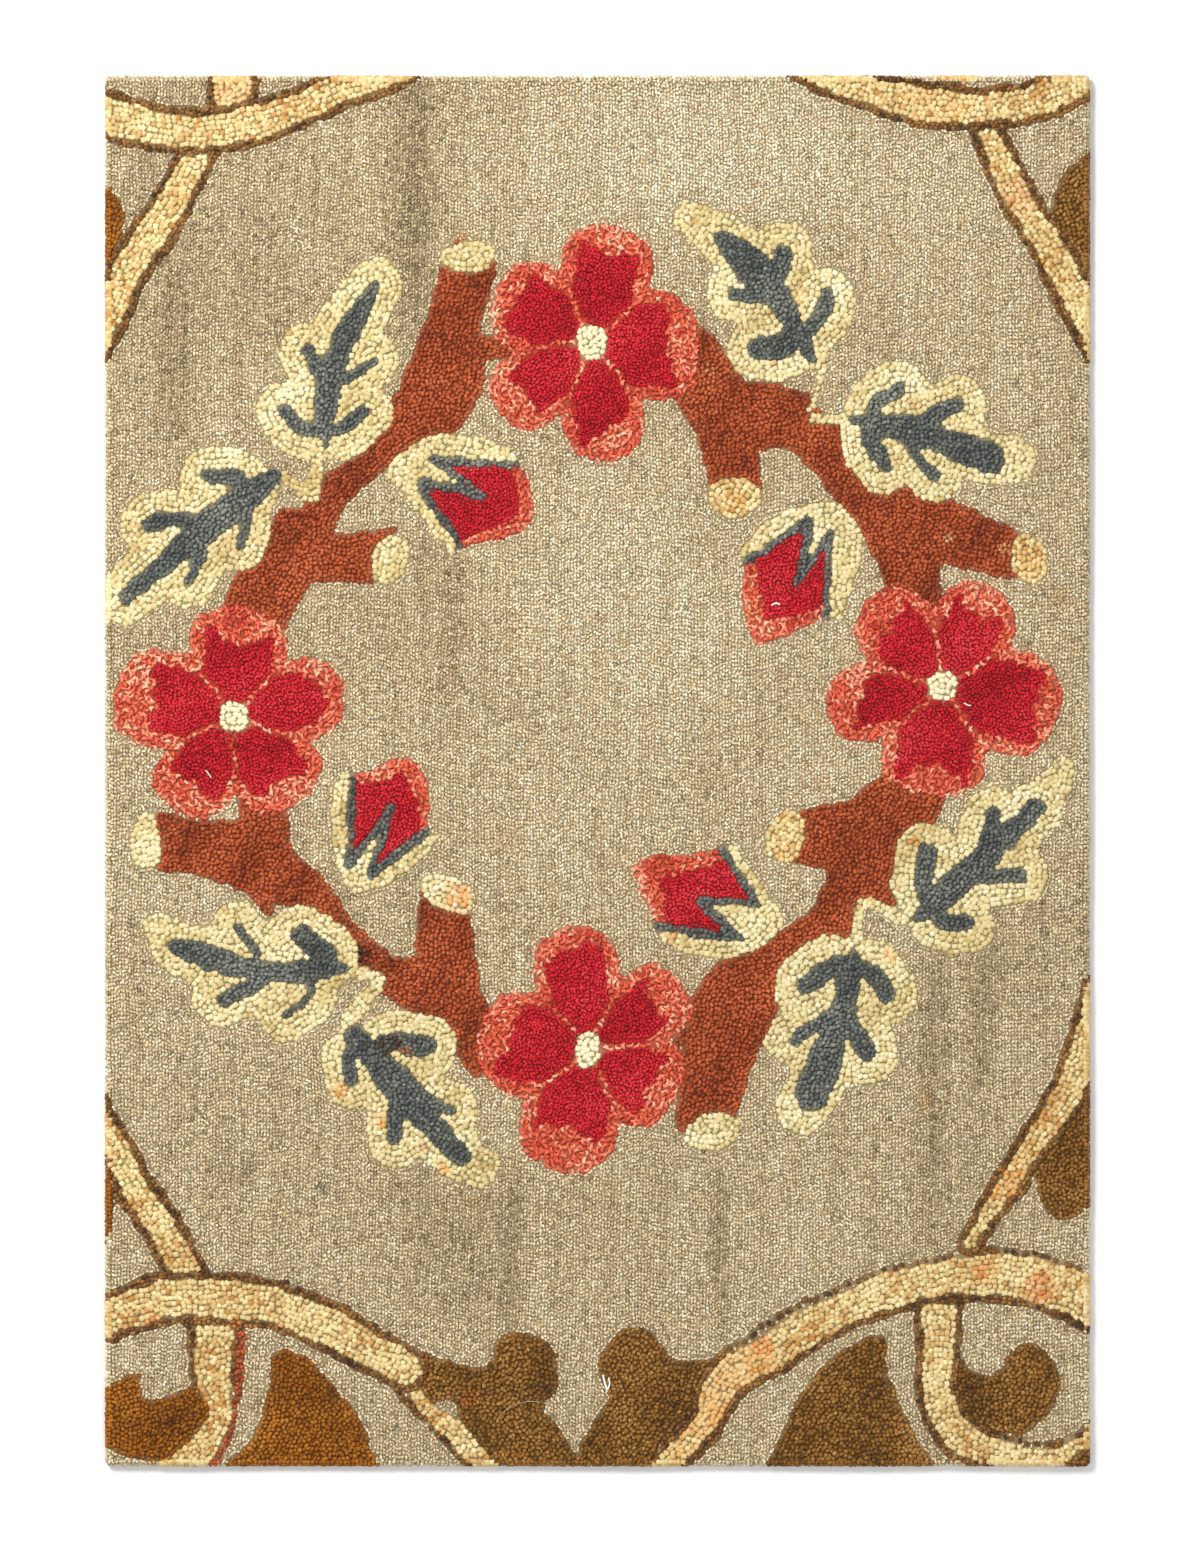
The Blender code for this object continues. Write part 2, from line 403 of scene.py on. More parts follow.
# Thin stalks of the leaves and the ground between them, each through points with a half width
Run = namedtuple("Run", "wool points")
STALKS = (
    Run("ground", ((-224, 193, 5), (-211, 190, 4))),
    Run("ground", (
        (191, -114, 3.5), (195, -104, 4.5), (203, -104, 4), (209, -111, 4), (199, -118, 4.5))),
    Run("ground", ((160, 261, 4), (170, 258, 4))),
    Run("ground", ((-168, -154, 3), (-181, -168, 4))),
    Run("ground", ((-157, -165, 4), (-150, -166, 3))),
    Run("cream", ((-199, 226, 5), (-200, 210, 4.8), (-203, 197, 6))),
    Run("cream", ((-231, 213, 4), (-220, 206, 4), (-210, 200, 4.5), (-204, 196, 5))),
    Run("cream", ((159, 288, 3), (155, 265, 3), (151, 257, 2.5))),
    Run("cream", ((153, 251.5, 3), (164, 251.5, 4), (176, 252.5, 4))),
    Run("cream", ((184, -126, 5), (186, -107, 4.6), (190.5, -96, 5), (203, -98.5, 4.3), (216, -107, 5))),
    Run("cream", (
        (-178, -144.5, 4.5), (-156, -146, 4.6), (-163, -160, 5.2), (-170, -168, 5.5), (-178, -179, 6))),
)

# Scroll bands of gold wool with a brown outline: through points with a half width at each
STEMS = (
    ((-259.7, 505, 13.6), (-259.7, 470, 13.6)),
    ((-282, 448, 8.5), (-291.3, 425, 9), (-308, 396, 10), (-333, 357, 10.5), (-362, 302, 11)),
    ((276, 458, 8), (292, 424, 9.5), (311, 391, 9.5), (333, 352, 11), (361, 303, 11)),
    ((-366, -236, 9), (-340, -277, 9), (-321, -309, 9.5), (-303, -337, 9.5), (-288, -364, 9)),
    ((-273.3, -388, 14), (-273.3, -414, 14), (-273, -432, 13)),
    ((264, -340, 4), (287, -303, 6.5), (306, -275, 7.5), (327, -243, 9), (344, -209, 11), (362, -160, 14)),
    ((243, -366, 11.5), (243, -412, 11.2), (241, -439, 10.5), (249, -462, 10.5), (267, -480, 11),
     (294, -489, 10), (322, -490, 8), (347, -477, 4), (366, -462, 3)),
)
ARCS = (
    ((-368, 474, 14), (-350.6, 467.8, 14), (-326.9, 460.7, 13.3), (-303.2, 456.2, 12), (-279.4, 455.6, 11.5),
     (-255.7, 458.3, 12), (-232, 465.2, 11.8), (-208.2, 475.4, 10.2), (-184.5, 484.4, 9.4),
     (-160.8, 493, 9), (-140, 502, 9)),
    ((146, 505, 10), (160, 497.8, 10), (182.2, 490, 10), (205.9, 481.3, 10.4), (229.6, 475.7, 11),
     (253.4, 473.2, 11.2), (277.1, 472.6, 10.6), (300.8, 474.8, 11), (324.6, 483.3, 11.4),
     (348.3, 493.5, 11), (368, 504, 11)),
    ((-366, -396, 13), (-316, -378, 13), (-278, -376, 13), (-237, -379, 13), (-209, -388, 12.5),
     (-178, -403, 12.3), (-151, -418, 12), (-138, -426, 11.5)),
    ((43, -510, 10), (50.5, -497.6, 9.5), (56.4, -487, 9), (67.1, -476.3, 8.6), (75.4, -465.6, 9),
     (80.6, -452.5, 10), (87.2, -439.5, 11.5), (102.7, -426.4, 12.3), (122.8, -413.4, 12),
     (146.6, -398, 11.9), (182.2, -379.7, 11.6), (217.8, -367.6, 12.6), (253.4, -360.4, 13),
     (289, -359, 14), (324.6, -366.2, 15), (348.3, -376.8, 16), (368, -387, 16)),
)
OUTLINE = 5.2

# Runs of outline in rust and brown, and of gold without an outline, through points with a half width each
SCROLL_RUNS = (
    Run("rust", (
        (-253.4, -400, 2.9), (-253.8, -429, 2.4), (-256, -443, 2.3), (-259, -460, 2.3), (-263.8, -474, 2.3),
        (-269.2, -486, 2.3), (-276, -498, 2.4),
    )),
    Run("gold", (
        (-272.8, -436, 13.2), (-270.8, -446, 10.5), (-268.8, -453, 9), (-270.7, -464.4, 8.8),
        (-277.5, -476.3, 9.5), (-285.4, -486, 10.5), (-296, -497, 11.5), (-303, -505, 11.5),
    )),
    Run("brown", (
        (-140, -445, 2.6), (-122.8, -461, 2.4), (-110.9, -474, 2.4), (-99.1, -487, 2.4), (-90, -502, 2.4),
    )),
    Run("gold", (
        (-131.1, -441.9, 4.7), (-116.9, -457.5, 5.7), (-105, -467, 6.8), (-93.1, -480.5, 6.8),
        (-83.6, -492, 7), (-76, -502, 7),
    )),
    Run("gold", ((240, 498, 4.5), (267, 498, 4.5))),
)
# A thin outline under the lower right arc
LOW_ARC_RUN = Run("brown", (
    (158, -409, 2), (134.7, -422, 2.1), (111, -437.5, 2.1), (96, -451.5, 2.1), (88, -466, 2.1),
    (74.5, -481.5, 2.1), (62, -499, 2.1),
))

# Outlines that are worked as single dark loops: half width, length and pitch, and half width of the ground
# between them
DASH = (1.9, 2.6, 7.4)
DASH_GROUND = 3.4
STEM_DASHES = (
    ((291, -475.5), (308, -478.2), (324.6, -478.5), (346, -473), (368, -458)),
)
ARC_DASHES = (
    ((92, -413), (111, -401.5), (134.7, -386.1), (170.3, -368.5), (182.2, -363.8), (217.8, -352.6),
     (241.5, -348), (253, -346)),
    ((290, -342.5), (308, -344.5), (324.6, -348.6), (348.3, -357), (368, -366)),
)

# Scroll leaves, curls and palmettes: points round each outline
SCROLL_LEAVES = (
    Run("ochre", ((-366, 418), (-346, 412), (-337, 398), (-342, 372), (-352, 350), (-366, 340))),
    Run("olive", ((366, 437), (342, 433), (328, 414), (324, 392), (336, 368), (350, 350), (366, 338))),
    Run("ochre", ((-366, -282), (-350, -287), (-343, -306), (-347, -330), (-366, -342))),
    Run("ochre", (
        (-368, -446), (-350.6, -439.5), (-342.3, -434.7), (-334, -430), (-325.7, -430.7), (-325, -438.3),
        (-321, -447.3), (-311.5, -448.7), (-299.6, -443.5), (-291.3, -441.9), (-283, -447.3),
        (-276.6, -452.5), (-277.1, -463.2), (-283, -476.3), (-293.7, -485.8), (-307.9, -492.4),
        (-326.9, -491.7), (-341.1, -487), (-350.6, -482.2), (-368, -478),
    )),
    Run("ochre", (
        (-230, -415), (-207, -419), (-188, -439), (-171, -459), (-164, -480), (-163, -506),
        (-266, -506), (-247, -476), (-236, -451), (-232, -432),
    )),
    Run("olive", (
        (-129, -417), (-104, -422), (-85, -425), (-74, -418), (-71, -405), (-57, -399), (-42, -403),
        (-31, -416), (-29, -438), (-39, -452), (-24, -472), (-16, -506), (-72, -506), (-96, -471),
        (-104, -450), (-126, -446),
    )),
    Run("olive", (
        (7, -407), (20, -397), (36, -398), (46, -407), (51, -418), (66, -422), (88, -420),
        (70, -437), (70, -454), (62, -472), (46, -492), (38, -506), (-15, -506), (-11, -480),
        (0, -459), (9, -447), (3, -428),
    )),
    Run("olive", (
        (366, -211), (331, -243), (315, -270), (313, -293), (319, -313), (332, -319), (350, -312),
        (366, -302),
    )),
    Run("olive", (
        (259, -413), (264, -425), (276, -431), (289, -427), (297, -414), (309, -408), (321, -415),
        (328, -431), (326, -449), (315, -464), (295, -475), (274, -475), (258, -466), (248, -449),
        (249, -430),
    )),
    Run("olive", (
        (193, -404), (206, -403), (206, -425), (213, -448), (224, -469), (236, -506), (127, -506),
        (135, -466), (147, -441), (164, -421),
    )),
    Run("olive", ((334, -503), (340, -487), (352, -480), (366, -474), (366, -506))),
)

# Wear and spots: place, radius, colour and how much of it
Spot = namedtuple("Spot", "x y radius colour strength")
SPOTS = (
    Spot(-168.4, -131.0, 8.0, "#2a160a", 1.00),
    Spot(-147.0, -195.5, 8.5, "#45270f", 0.95),
    Spot(-137.0, -201.0, 5.0, "#c4742c", 0.70),
    Spot(-95.7, 378.1, 4.5, "#dd9238", 0.85),
    Spot(80.8, 285.6, 3.6, "#d0925a", 0.80),
    Spot(97.9, 192.5, 7.0, "#df9a4c", 0.60),
    Spot(226.1, 260.6, 5.0, "#cf8a3a", 0.80),
    Spot(126.4, 288.4, 3.6, "#d9892f", 0.80),
    Spot(249.6, 166.7, 3.2, "#e8c48e", 0.85),
    Spot(290.2, 157.4, 4.5, "#e2b27c", 0.70),
    Spot(308.0, 150.3, 10.0, "#e2a04a", 0.45),
    Spot(-99.0, -91.0, 10.0, "#e08a30", 0.75),
    Spot(-183.3, -227.1, 6.0, "#d68a34", 0.80),
    Spot(-154.8, -249.9, 5.5, "#dc9440", 0.80),
    Spot(-122.8, -268.4, 4.5, "#cf8433", 0.85),
    Spot(-110.0, -284.0, 4.5, "#dd9945", 0.75),
    Spot(208.3, -131.0, 5.5, "#e0a048", 0.75),
    Spot(226.1, -51.2, 4.0, "#c97f35", 0.85),
    Spot(53.1, -118.1, 3.4, "#d59545", 0.80),
    Spot(134.0, -58.0, 8.0, "#e3a351", 0.55),
    Spot(183.4, 339.0, 4.0, "#c8324a", 0.85),
    Spot(8.9, -298.3, 9.0, "#d9a561", 0.30),
    Spot(-87.2, -309.0, 8.0, "#d9a561", 0.35),
    Spot(233.2, -234.2, 6.0, "#dfa650", 0.45),
    Spot(108.6, 114.7, 6.0, "#dba455", 0.45),
    Spot(96.0, 92.0, 5.0, "#dba455", 0.35),
    Spot(329.3, 121.8, 9.0, "#dba455", 0.35),
    Spot(-73.7, -49.8, 12.0, "#d9a55c", 0.32),
    Spot(-60.0, 98.0, 7.0, "#d9a55c", 0.30),
    Spot(160.0, -10.0, 7.0, "#d9a55c", 0.30),
    Spot(-195.4, -297.6, 4.5, "#6c5b43", 0.75),
    Spot(-248.0, -282.6, 6.0, "#75664d", 0.55),
    Spot(-142.0, -468.0, 3.0, "#4d4230", 0.70),
    Spot(-92.0, -447.0, 5.0, "#b4572a", 0.70),
    Spot(-259.5, 488.0, 22.0, "#e0ad74", 0.75),
    Spot(243.9, 475.0, 26.0, "#eab46f", 0.35),
    Spot(300.0, 408.0, 14.0, "#e5b184", 0.45),
    Spot(96.0, -432.0, 32.0, "#dc9a51", 0.55),
    Spot(70.0, -470.0, 24.0, "#de9847", 0.55),
    Spot(118.0, -408.0, 9.0, "#e07c2e", 0.70),
    Spot(315.0, -367.0, 11.0, "#e0692a", 0.50),
    Spot(276.0, -357.0, 8.0, "#e58a45", 0.55),
    Spot(293.7, -291.0, 16.0, "#df9244", 0.55),
    Spot(-258.0, -399.0, 8.0, "#dd7f3c", 0.65),
    Spot(-318.0, -388.0, 7.0, "#e0924f", 0.50),
)

# Darker or paler lengthways streaks of the ground: place, half sizes and change of tone
Streak = namedtuple("Streak", "x y half_width half_length tone")
STREAKS = (
    Streak(-128, 412, 17, 95, -0.55),
    Streak(-301, 300, 14, 75, -0.35),
    Streak(-104, 98, 18, 62, -0.30),
    Streak(-103, -346, 42, 62, -0.30),
    Streak(-64, -346, 10, 66, -0.30),
    Streak(88, -343, 7, 58, -0.45),
    Streak(238, -236, 14, 116, -0.42),
    Streak(275, -180, 12, 85, -0.25),
    Streak(112, 445, 150, 55, 0.38),
    Streak(20, 145, 90, 90, 0.22),
    Streak(60, 20, 130, 120, 0.12),
    Streak(-20, 420, 70, 60, 0.12),
    Streak(300, 210, 60, 150, 0.09),
    Streak(-250, 190, 110, 150, -0.09),
    Streak(-250, -270, 100, 60, -0.10),
    Streak(-290, 420, 70, 110, -0.20),
    Streak(-200, 350, 90, 90, -0.12),
)

# Loose ends and a hair: points through each, its thickness and colour. They have five sides, and lie a
# share of their thickness above the crowns.
END_SIDES = 5
END_LIFT = 0.25
LooseEnd = namedtuple("LooseEnd", "name points thickness colour")
LOOSE_ENDS = (
    LooseEnd("left_flower_end", ((-279, 0.5), (-277, -2), (-275, -5)), 0.9, "#f6efdc"),
    LooseEnd("bud_end", ((124, 118), (127, 119.5), (130, 118.5)), 1.3, "#fbf4e4"),
    LooseEnd("right_flower_end", ((261, 48.5), (263.5, 47), (266, 46.5)), 1.0, "#fbf4e4"),
    LooseEnd("palmette_tuft_a", ((4, -430), (5, -435), (7, -441)), 1.5, "#fdf8ee"),
    LooseEnd("palmette_tuft_b", ((8, -432), (8.5, -437), (6, -443)), 1.2, "#fdf8ee"),
    LooseEnd("hair", ((-70, -459), (-60, -452), (-48, -449), (-36, -451), (-30, -458)), 0.35, "#cdbf9f"),
)


def linear(hex_colour):
    """A colour written as sRGB hex, as linear red, green and blue."""
    channels = (int(hex_colour[place:place + 2], 16) / 255 for place in (1, 3, 5))
    return tuple(c / 12.92 if c <= 0.04045 else ((c + 0.055) / 1.055) ** 2.4 for c in channels)


def size_property(label, what, size):
    """A length in the panel, from millimetres."""
    return bpy.props.FloatProperty(
        name=label, description=what, default=size * MM, min=0.0, precision=5, unit="LENGTH")


def colour_property(label, what, colour):
    """A colour in the panel, from sRGB hex."""
    return bpy.props.FloatVectorProperty(
        name=label, description=what, default=linear(colour), min=0.0, max=1.0, size=3, subtype="COLOR")


def wool_properties():
    """The sizes and colours of every wool."""
    made = {}
    for name, wool in WOOLS.items():
        for rows, make in ((WOOL_SIZES, size_property), (WOOL_COLOURS, colour_property)):
            for key, label, what in rows:
                shown = (f"{name.title()} {label}", what.format(name))
                made[f"{name}_{key}"] = make(*shown, getattr(wool, key))
    return made


class RUG_PG_wools(bpy.types.PropertyGroup):
    """Sizes and colours of the wools"""

    __annotations__ = wool_properties()


class RUG_PG_cloth(bpy.types.PropertyGroup):
    """Sizes and colours of the foundation cloth, its thread and the floor"""

    hem_width: size_property("Hem", "Width of the hem that is turned under", 15.0)
    thread: size_property("Burlap thread", "Distance from thread to thread of the burlap", 1.3)
    packed: size_property("Packed depth", "Depth below the crowns at which the loops touch", 1.5)
    jute_light: colour_property("Jute, light", "Colour of the burlap's raised threads", "#b59a6a")
    jute_dark: colour_property("Jute, dark", "Colour between the burlap's threads", "#6f5a3a")
    linen: colour_property("Linen thread", "Colour of the whip stitches", "#cdbf9c")
    floor: colour_property("Floor", "Colour of the floor", "#f7f7f7")


def wool_now(name):
    """A wool as the panel has it, with sizes in millimetres and linear colours."""
    chosen = bpy.context.scene.rug_wools
    sizes = {key: getattr(chosen, f"{name}_{key}") / MM for key, *_ in WOOL_SIZES}
    colours = {key: tuple(getattr(chosen, f"{name}_{key}")) for key, *_ in WOOL_COLOURS}
    return WOOLS[name]._replace(**sizes, **colours)


def cloth_size(key):
    """A size of the cloth as the panel has it, in millimetres."""
    return getattr(bpy.context.scene.rug_cloth, key) / MM


def cloth_colour(key):
    return (*getattr(bpy.context.scene.rug_cloth, key), 1.0)


def wander(x, y):
    """How far the drawn lines stray from their places across and along, in millimetres."""
    strays = []
    for (share, bend, other_share, shift), here, other in zip(WANDER_SHARES, (x, y), (y, x)):
        stray = np.zeros_like(here)
        for reach, length in WANDERS:
            bent = bend * np.sin(other / (other_share * length))
            stray = stray + reach * np.sin(here / (share * length) + bent + shift * length)
        strays.append(stray)
    return strays


def smooth_route(points, steps=6, closed=False):
    """A smooth curve through some points, whatever number of columns they have."""
    rows = np.array(points, dtype=float)
    if len(rows) < 3:
        return rows
    if closed:
        padded = np.vstack((rows[-1:], rows, rows[:2]))
    else:
        padded = np.vstack((2 * rows[0] - rows[1], rows, 2 * rows[-1] - rows[-2]))
    share = (np.arange(steps) / steps)[:, None]
    pieces = []
    for before, here, there, after in zip(padded, padded[1:], padded[2:], padded[3:]):
        pieces.append(0.5 * (
            2 * here
            + (there - before) * share
            + (2 * before - 5 * here + 4 * there - after) * share ** 2
            + (3 * here - before - 3 * there + after) * share ** 3
        ))
    if not closed:
        pieces.append(rows[-1:])
    return np.vstack(pieces)


def with_half(points, half):
    """A route with a half width for all of its points, or one for each."""
    return np.column_stack((points, np.broadcast_to(half, len(points))))


def stroke_gap(x, y, route):
    """Distance of each cell from a tapered stroke, less than nothing inside it."""
    gap = np.full(x.shape, np.inf)
    for (x0, y0, w0), (x1, y1, w1) in zip(route, route[1:]):
        run = (x1 - x0, y1 - y0)
        share = np.clip(((x - x0) * run[0] + (y - y0) * run[1]) / (run[0] ** 2 + run[1] ** 2), 0, 1)
        away = np.hypot(x - x0 - share * run[0], y - y0 - share * run[1])
        gap = np.minimum(gap, away - (w0 + (w1 - w0) * share))
    return gap


class Chart:
    """The pattern as a grid of cells, each holding the number of its wool, and lines of single loops."""

    def __init__(self):
        self.left = -HALF_WIDTH - CHART_MARGIN
        self.low = -HALF_LENGTH - CHART_MARGIN
        across = int(2 * -self.left / CELL) + 1
        along = int(2 * -self.low / CELL) + 1
        columns = self.left + CELL * np.arange(across)
        rows = self.low + CELL * np.arange(along)
        self.x, self.y = np.meshgrid(columns, rows)
        self.wool = np.zeros(self.x.shape, dtype=np.uint8)
        self.lines = []
        stray_x, stray_y = wander(self.x, self.y)
        self.x += stray_x
        self.y += stray_y

    def near(self, points, reach):
        """The part of the grid round some points, up to a reach and the wander of its cells."""
        places = np.array(points, dtype=float)[:, :2]
        low = np.floor((places.min(axis=0) - reach - STRAY - (self.left, self.low)) / CELL).astype(int)
        high = np.ceil((places.max(axis=0) + reach + STRAY - (self.left, self.low)) / CELL).astype(int)
        low = np.maximum(low, 0)
        return slice(low[1], max(high[1], 0)), slice(low[0], max(high[0], 0))

    def swept(self, route, extra=0.0):
        """The part of the grid round a tapered route, and the cells of it that the route covers."""
        part = self.near(route, route[:, 2].max() + extra)
        return part, stroke_gap(self.x[part], self.y[part], route) < extra

    def paint(self, part, mask, wool):
        self.wool[part][mask] = WOOL_NAMES.index(wool)

    def stroke(self, points, wool, extra=0.0):
        """Paints a smooth tapered stroke through points that have a half width each."""
        self.paint(*self.swept(smooth_route(points), extra), wool)

    def strokes(self, runs):
        for run in runs:
            self.stroke(run.points, run.wool)

    def outline(self, points, wool, steps=5):
        """Paints the inside of a closed outline, smooth if it has more than one step from point to point."""
        route = smooth_route(points, steps=steps, closed=True)
        part = self.near(route, 0)
        x, y = self.x[part], self.y[part]
        inside = np.zeros(x.shape, dtype=bool)
        for (x0, y0), (x1, y1) in zip(route, np.roll(route, -1, axis=0)):
            if y0 != y1:
                crosses = (y0 > y) != (y1 > y)
                inside ^= crosses & (x < x0 + (y - y0) * (x1 - x0) / (y1 - y0))
        self.paint(part, inside, wool)

    def line(self, points, wool, width):
        """Keeps a strip clear for one row of loops, and notes the row."""
        route = np.array(points)
        part, mask = self.swept(with_half(route, width / 2))
        self.wool[part][mask] = LINE
        strays = wander(route[:, 0], route[:, 1])
        self.lines.append((wool, route - np.stack(strays, axis=1), width))

    def cells(self, x, y):
        """Row and column of the cell at each place."""
        column = np.clip(np.round((x - self.left) / CELL).astype(int), 0, self.wool.shape[1] - 1)
        row = np.clip(np.round((y - self.low) / CELL).astype(int), 0, self.wool.shape[0] - 1)
        return row, column

    def wool_at(self, x, y):
        return self.wool[self.cells(x, y)]


def turned(x, y, place, way):
    """Distances from a place along a way and across it."""
    x, y = x - place.x, y - place.y
    return x * math.cos(way) + y * math.sin(way), y * math.cos(way) - x * math.sin(way)


def petal_place(x, y, flower, petal):
    """Distances along and across a petal, its half width at its broadest, and the slope of its sides."""
    spread = math.radians(petal.end - petal.side) / 2
    along, across = turned(x, y, flower, math.radians((petal.side + petal.end) / 2))
    return along, across, PETAL_BREADTH * math.sin(spread), math.tan(spread)


def petal_mask(along, across, length, half_width, slope):
    """Cells of a petal: a wedge from the flower's middle that ends broad and blunt."""
    share = np.clip((along / length - PETAL_SHOULDER) / PETAL_END, 0, 1)
    breadth = np.minimum(along * slope, half_width) * np.sqrt(1 - share ** PETAL_BLUNT)
    return (np.abs(across) < breadth) & (along > 0) & (along < length)


def draw_flower(chart, flower):
    """Coral petals with a split red heart each, lines of coral between them and a cream eye."""
    part = chart.near([(flower.x, flower.y)], FLOWER_REACH)
    x, y = chart.x[part], chart.y[part]
    places = [petal_place(x, y, flower, petal) for petal in flower.petals]
    for petal, (along, across, half_width, slope) in zip(flower.petals, places):
        chart.paint(part, petal_mask(along, across, petal.length, half_width, slope), "coral")
    for petal, (along, across, half_width, slope) in zip(flower.petals, places):
        aside = across / half_width
        jags = JAG_DEPTH * np.cos(across * JAG_TURN + petal.side)
        dip = petal.split * np.clip(1 - SPLIT_SLOPE * aside ** 2, 0, 1)
        reach = petal.length - petal.tip + petal.lean * aside - dip + jags
        heart = petal_mask(
            along, across, petal.length * HEART_LENGTH, half_width - PETAL_SIDE, slope * HEART_SLOPE)
        chart.paint(part, heart & (along < reach), "red")
        way = math.radians(petal.side)
        points = [
            (flower.x + far * math.cos(way), flower.y + far * math.sin(way))
            for far in np.linspace(FLOWER_EYE + 1, PETAL_LINE_END, 6)
        ]
        chart.line(points, "coral", PETAL_LINE)
    eye = np.abs((x - flower.x) / FLOWER_EYE) ** 4 + np.abs((y - flower.y) / flower.eye) ** 4
    chart.paint(part, eye < 1, "cream")


def leaf_strokes(leaf):
    """The midrib and the side veins of a leaf, as strokes."""
    foot, tip = np.array(leaf.foot), np.array(leaf.tip)
    run = tip - foot
    left = np.array((-run[1], run[0])) / math.hypot(*run)

    def on_midrib(share):
        return foot + share * run + math.sin(math.pi * share) * leaf.bow * left

    shares = np.linspace(0, 1, len(leaf.widths))
    strokes = [np.array([(*on_midrib(share), width / 2) for share, width in zip(shares, leaf.widths)])]
    for vein in leaf.veins:
        start, end, half = on_midrib(vein.start), np.array((vein.x, vein.y)), vein.width / 2
        end = end - (end - start) / math.hypot(*(end - start)) * half * VEIN_SHORT
        bend = start + (end - start) * 0.5 - VEIN_BOW * run * (1 - vein.start)
        halves = half * np.array(VEIN_TAPER)
        strokes.append(with_half((start, bend, end), halves))
    return strokes


def draw_leaf(chart, leaf):
    """A lobed cream leaf that follows its slate veins."""
    strokes = leaf_strokes(leaf)
    chart.stroke(((*leaf.tip, LEAF_BODY[-1]), leaf.point), "cream")
    chart.stroke(with_half(strokes[0][:, :2], LEAF_BODY), "cream")
    for stroke in strokes[1:]:
        chart.stroke(with_half(stroke[:, :2], stroke[:, 2] + LEAF_EDGE * np.array(LOBE_TAPER)), "cream")
    for stroke in strokes:
        chart.stroke(stroke, "slate")


def draw_bud(chart, bud):
    """A red bud with a coral rim, held by three cream sepals that are lined with slate."""
    first, middle, last = bud.sepals
    husk = (first, bud.bends[0], bud.bends[1], bud.foot, bud.bends[2], bud.bends[3], last)
    chart.outline(husk, "cream")
    crown = smooth_route((first, *bud.crown, last), steps=5)
    chart.outline((*crown, bud.notches[1], middle, bud.notches[0]), "red", steps=1)
    swell = np.sin(math.pi * np.linspace(*RIM_SPAN, len(crown))) ** RIM_BLUNT
    part, rim = chart.swept(with_half(crown, bud.rim * swell - RIM_SET_IN))
    chart.paint(part, rim & (chart.wool[part] == WOOL_NAMES.index("red")), "coral")
    zigzag = (first, bud.notches[0], middle, bud.notches[1], last)
    chart.paint(*chart.swept(with_half(zigzag, BUD_LINE / 2)), "slate")


def travel(route):
    """Distance along a route at each of its points."""
    return np.concatenate(((0,), np.cumsum(np.hypot(*np.diff(route, axis=0).T))))


def places_at(route, so_far, stops):
    """Places at some distances along a route."""
    return np.stack([np.interp(stops, so_far, route[:, axis]) for axis in (0, 1)], axis=1)


def draw_dashes(chart, points):
    """Single dark loops along an outline, with ground between them."""
    half, length, pitch = DASH
    route = smooth_route(points)
    chart.stroke(with_half(route, DASH_GROUND), "ground")
    so_far = travel(route)
    for start in np.arange(0, so_far[-1] - length, pitch):
        ends = places_at(route, so_far, np.array((start, start + length)))
        chart.stroke(with_half(ends, half), "brown")


def draw_bands(chart, bands, runs, dashes):
    """Gold bands that cross each other, inside brown outlines that are partly worked another way."""
    for band in bands:
        chart.stroke(band, "brown", OUTLINE)
    chart.strokes(runs)
    for points in dashes:
        draw_dashes(chart, points)
    for band in bands:
        chart.stroke(band, "gold")


def draw_cut_end(chart, end):
    """The pale oval where a branch is sawn off."""
    part = chart.near([(end.x, end.y)], max(end.along, end.across))
    along, across = turned(chart.x[part], chart.y[part], end, math.radians(end.turn))
    chart.paint(part, np.hypot(along / end.along, across / end.across) < 1, end.wool)


@lru_cache
def pattern():
    """Paints the whole pattern, back to front."""
    chart = Chart()
    for shape in SCROLL_LEAVES:
        chart.outline(shape.points, shape.wool)
    draw_bands(chart, STEMS, (), STEM_DASHES)
    chart.strokes(SCROLL_RUNS)
    draw_bands(chart, ARCS, (LOW_ARC_RUN,), ARC_DASHES)
    for points in BRANCHES:
        chart.stroke(points, "rust")
    for end in CUT_ENDS:
        draw_cut_end(chart, end)
    chart.strokes(STALKS)
    for leaf in LEAVES:
        draw_leaf(chart, leaf)
    for flower in FLOWERS:
        draw_flower(chart, flower)
    for bud in BUDS:
        draw_bud(chart, bud)
    return chart


def depth_inside(mask, reach):
    """Distance of each cell of a mask from the nearest cell outside it, up to a reach in millimetres."""
    cells = int(reach / CELL) + 1
    place = np.arange(mask.shape[1])
    before = np.maximum.accumulate(np.where(mask, -FAR, place), axis=1)
    after = np.minimum.accumulate(np.where(mask, FAR, place)[:, ::-1], axis=1)[:, ::-1]
    gap = np.minimum(np.minimum(place - before, after - place), cells).astype(np.float32) ** 2
    nearest = gap.copy()
    for shift in range(1, cells):
        nearest[shift:] = np.minimum(nearest[shift:], gap[:-shift] + shift ** 2)
        nearest[:-shift] = np.minimum(nearest[:-shift], gap[shift:] + shift ** 2)
    return (np.sqrt(nearest) - 0.5) * CELL * mask


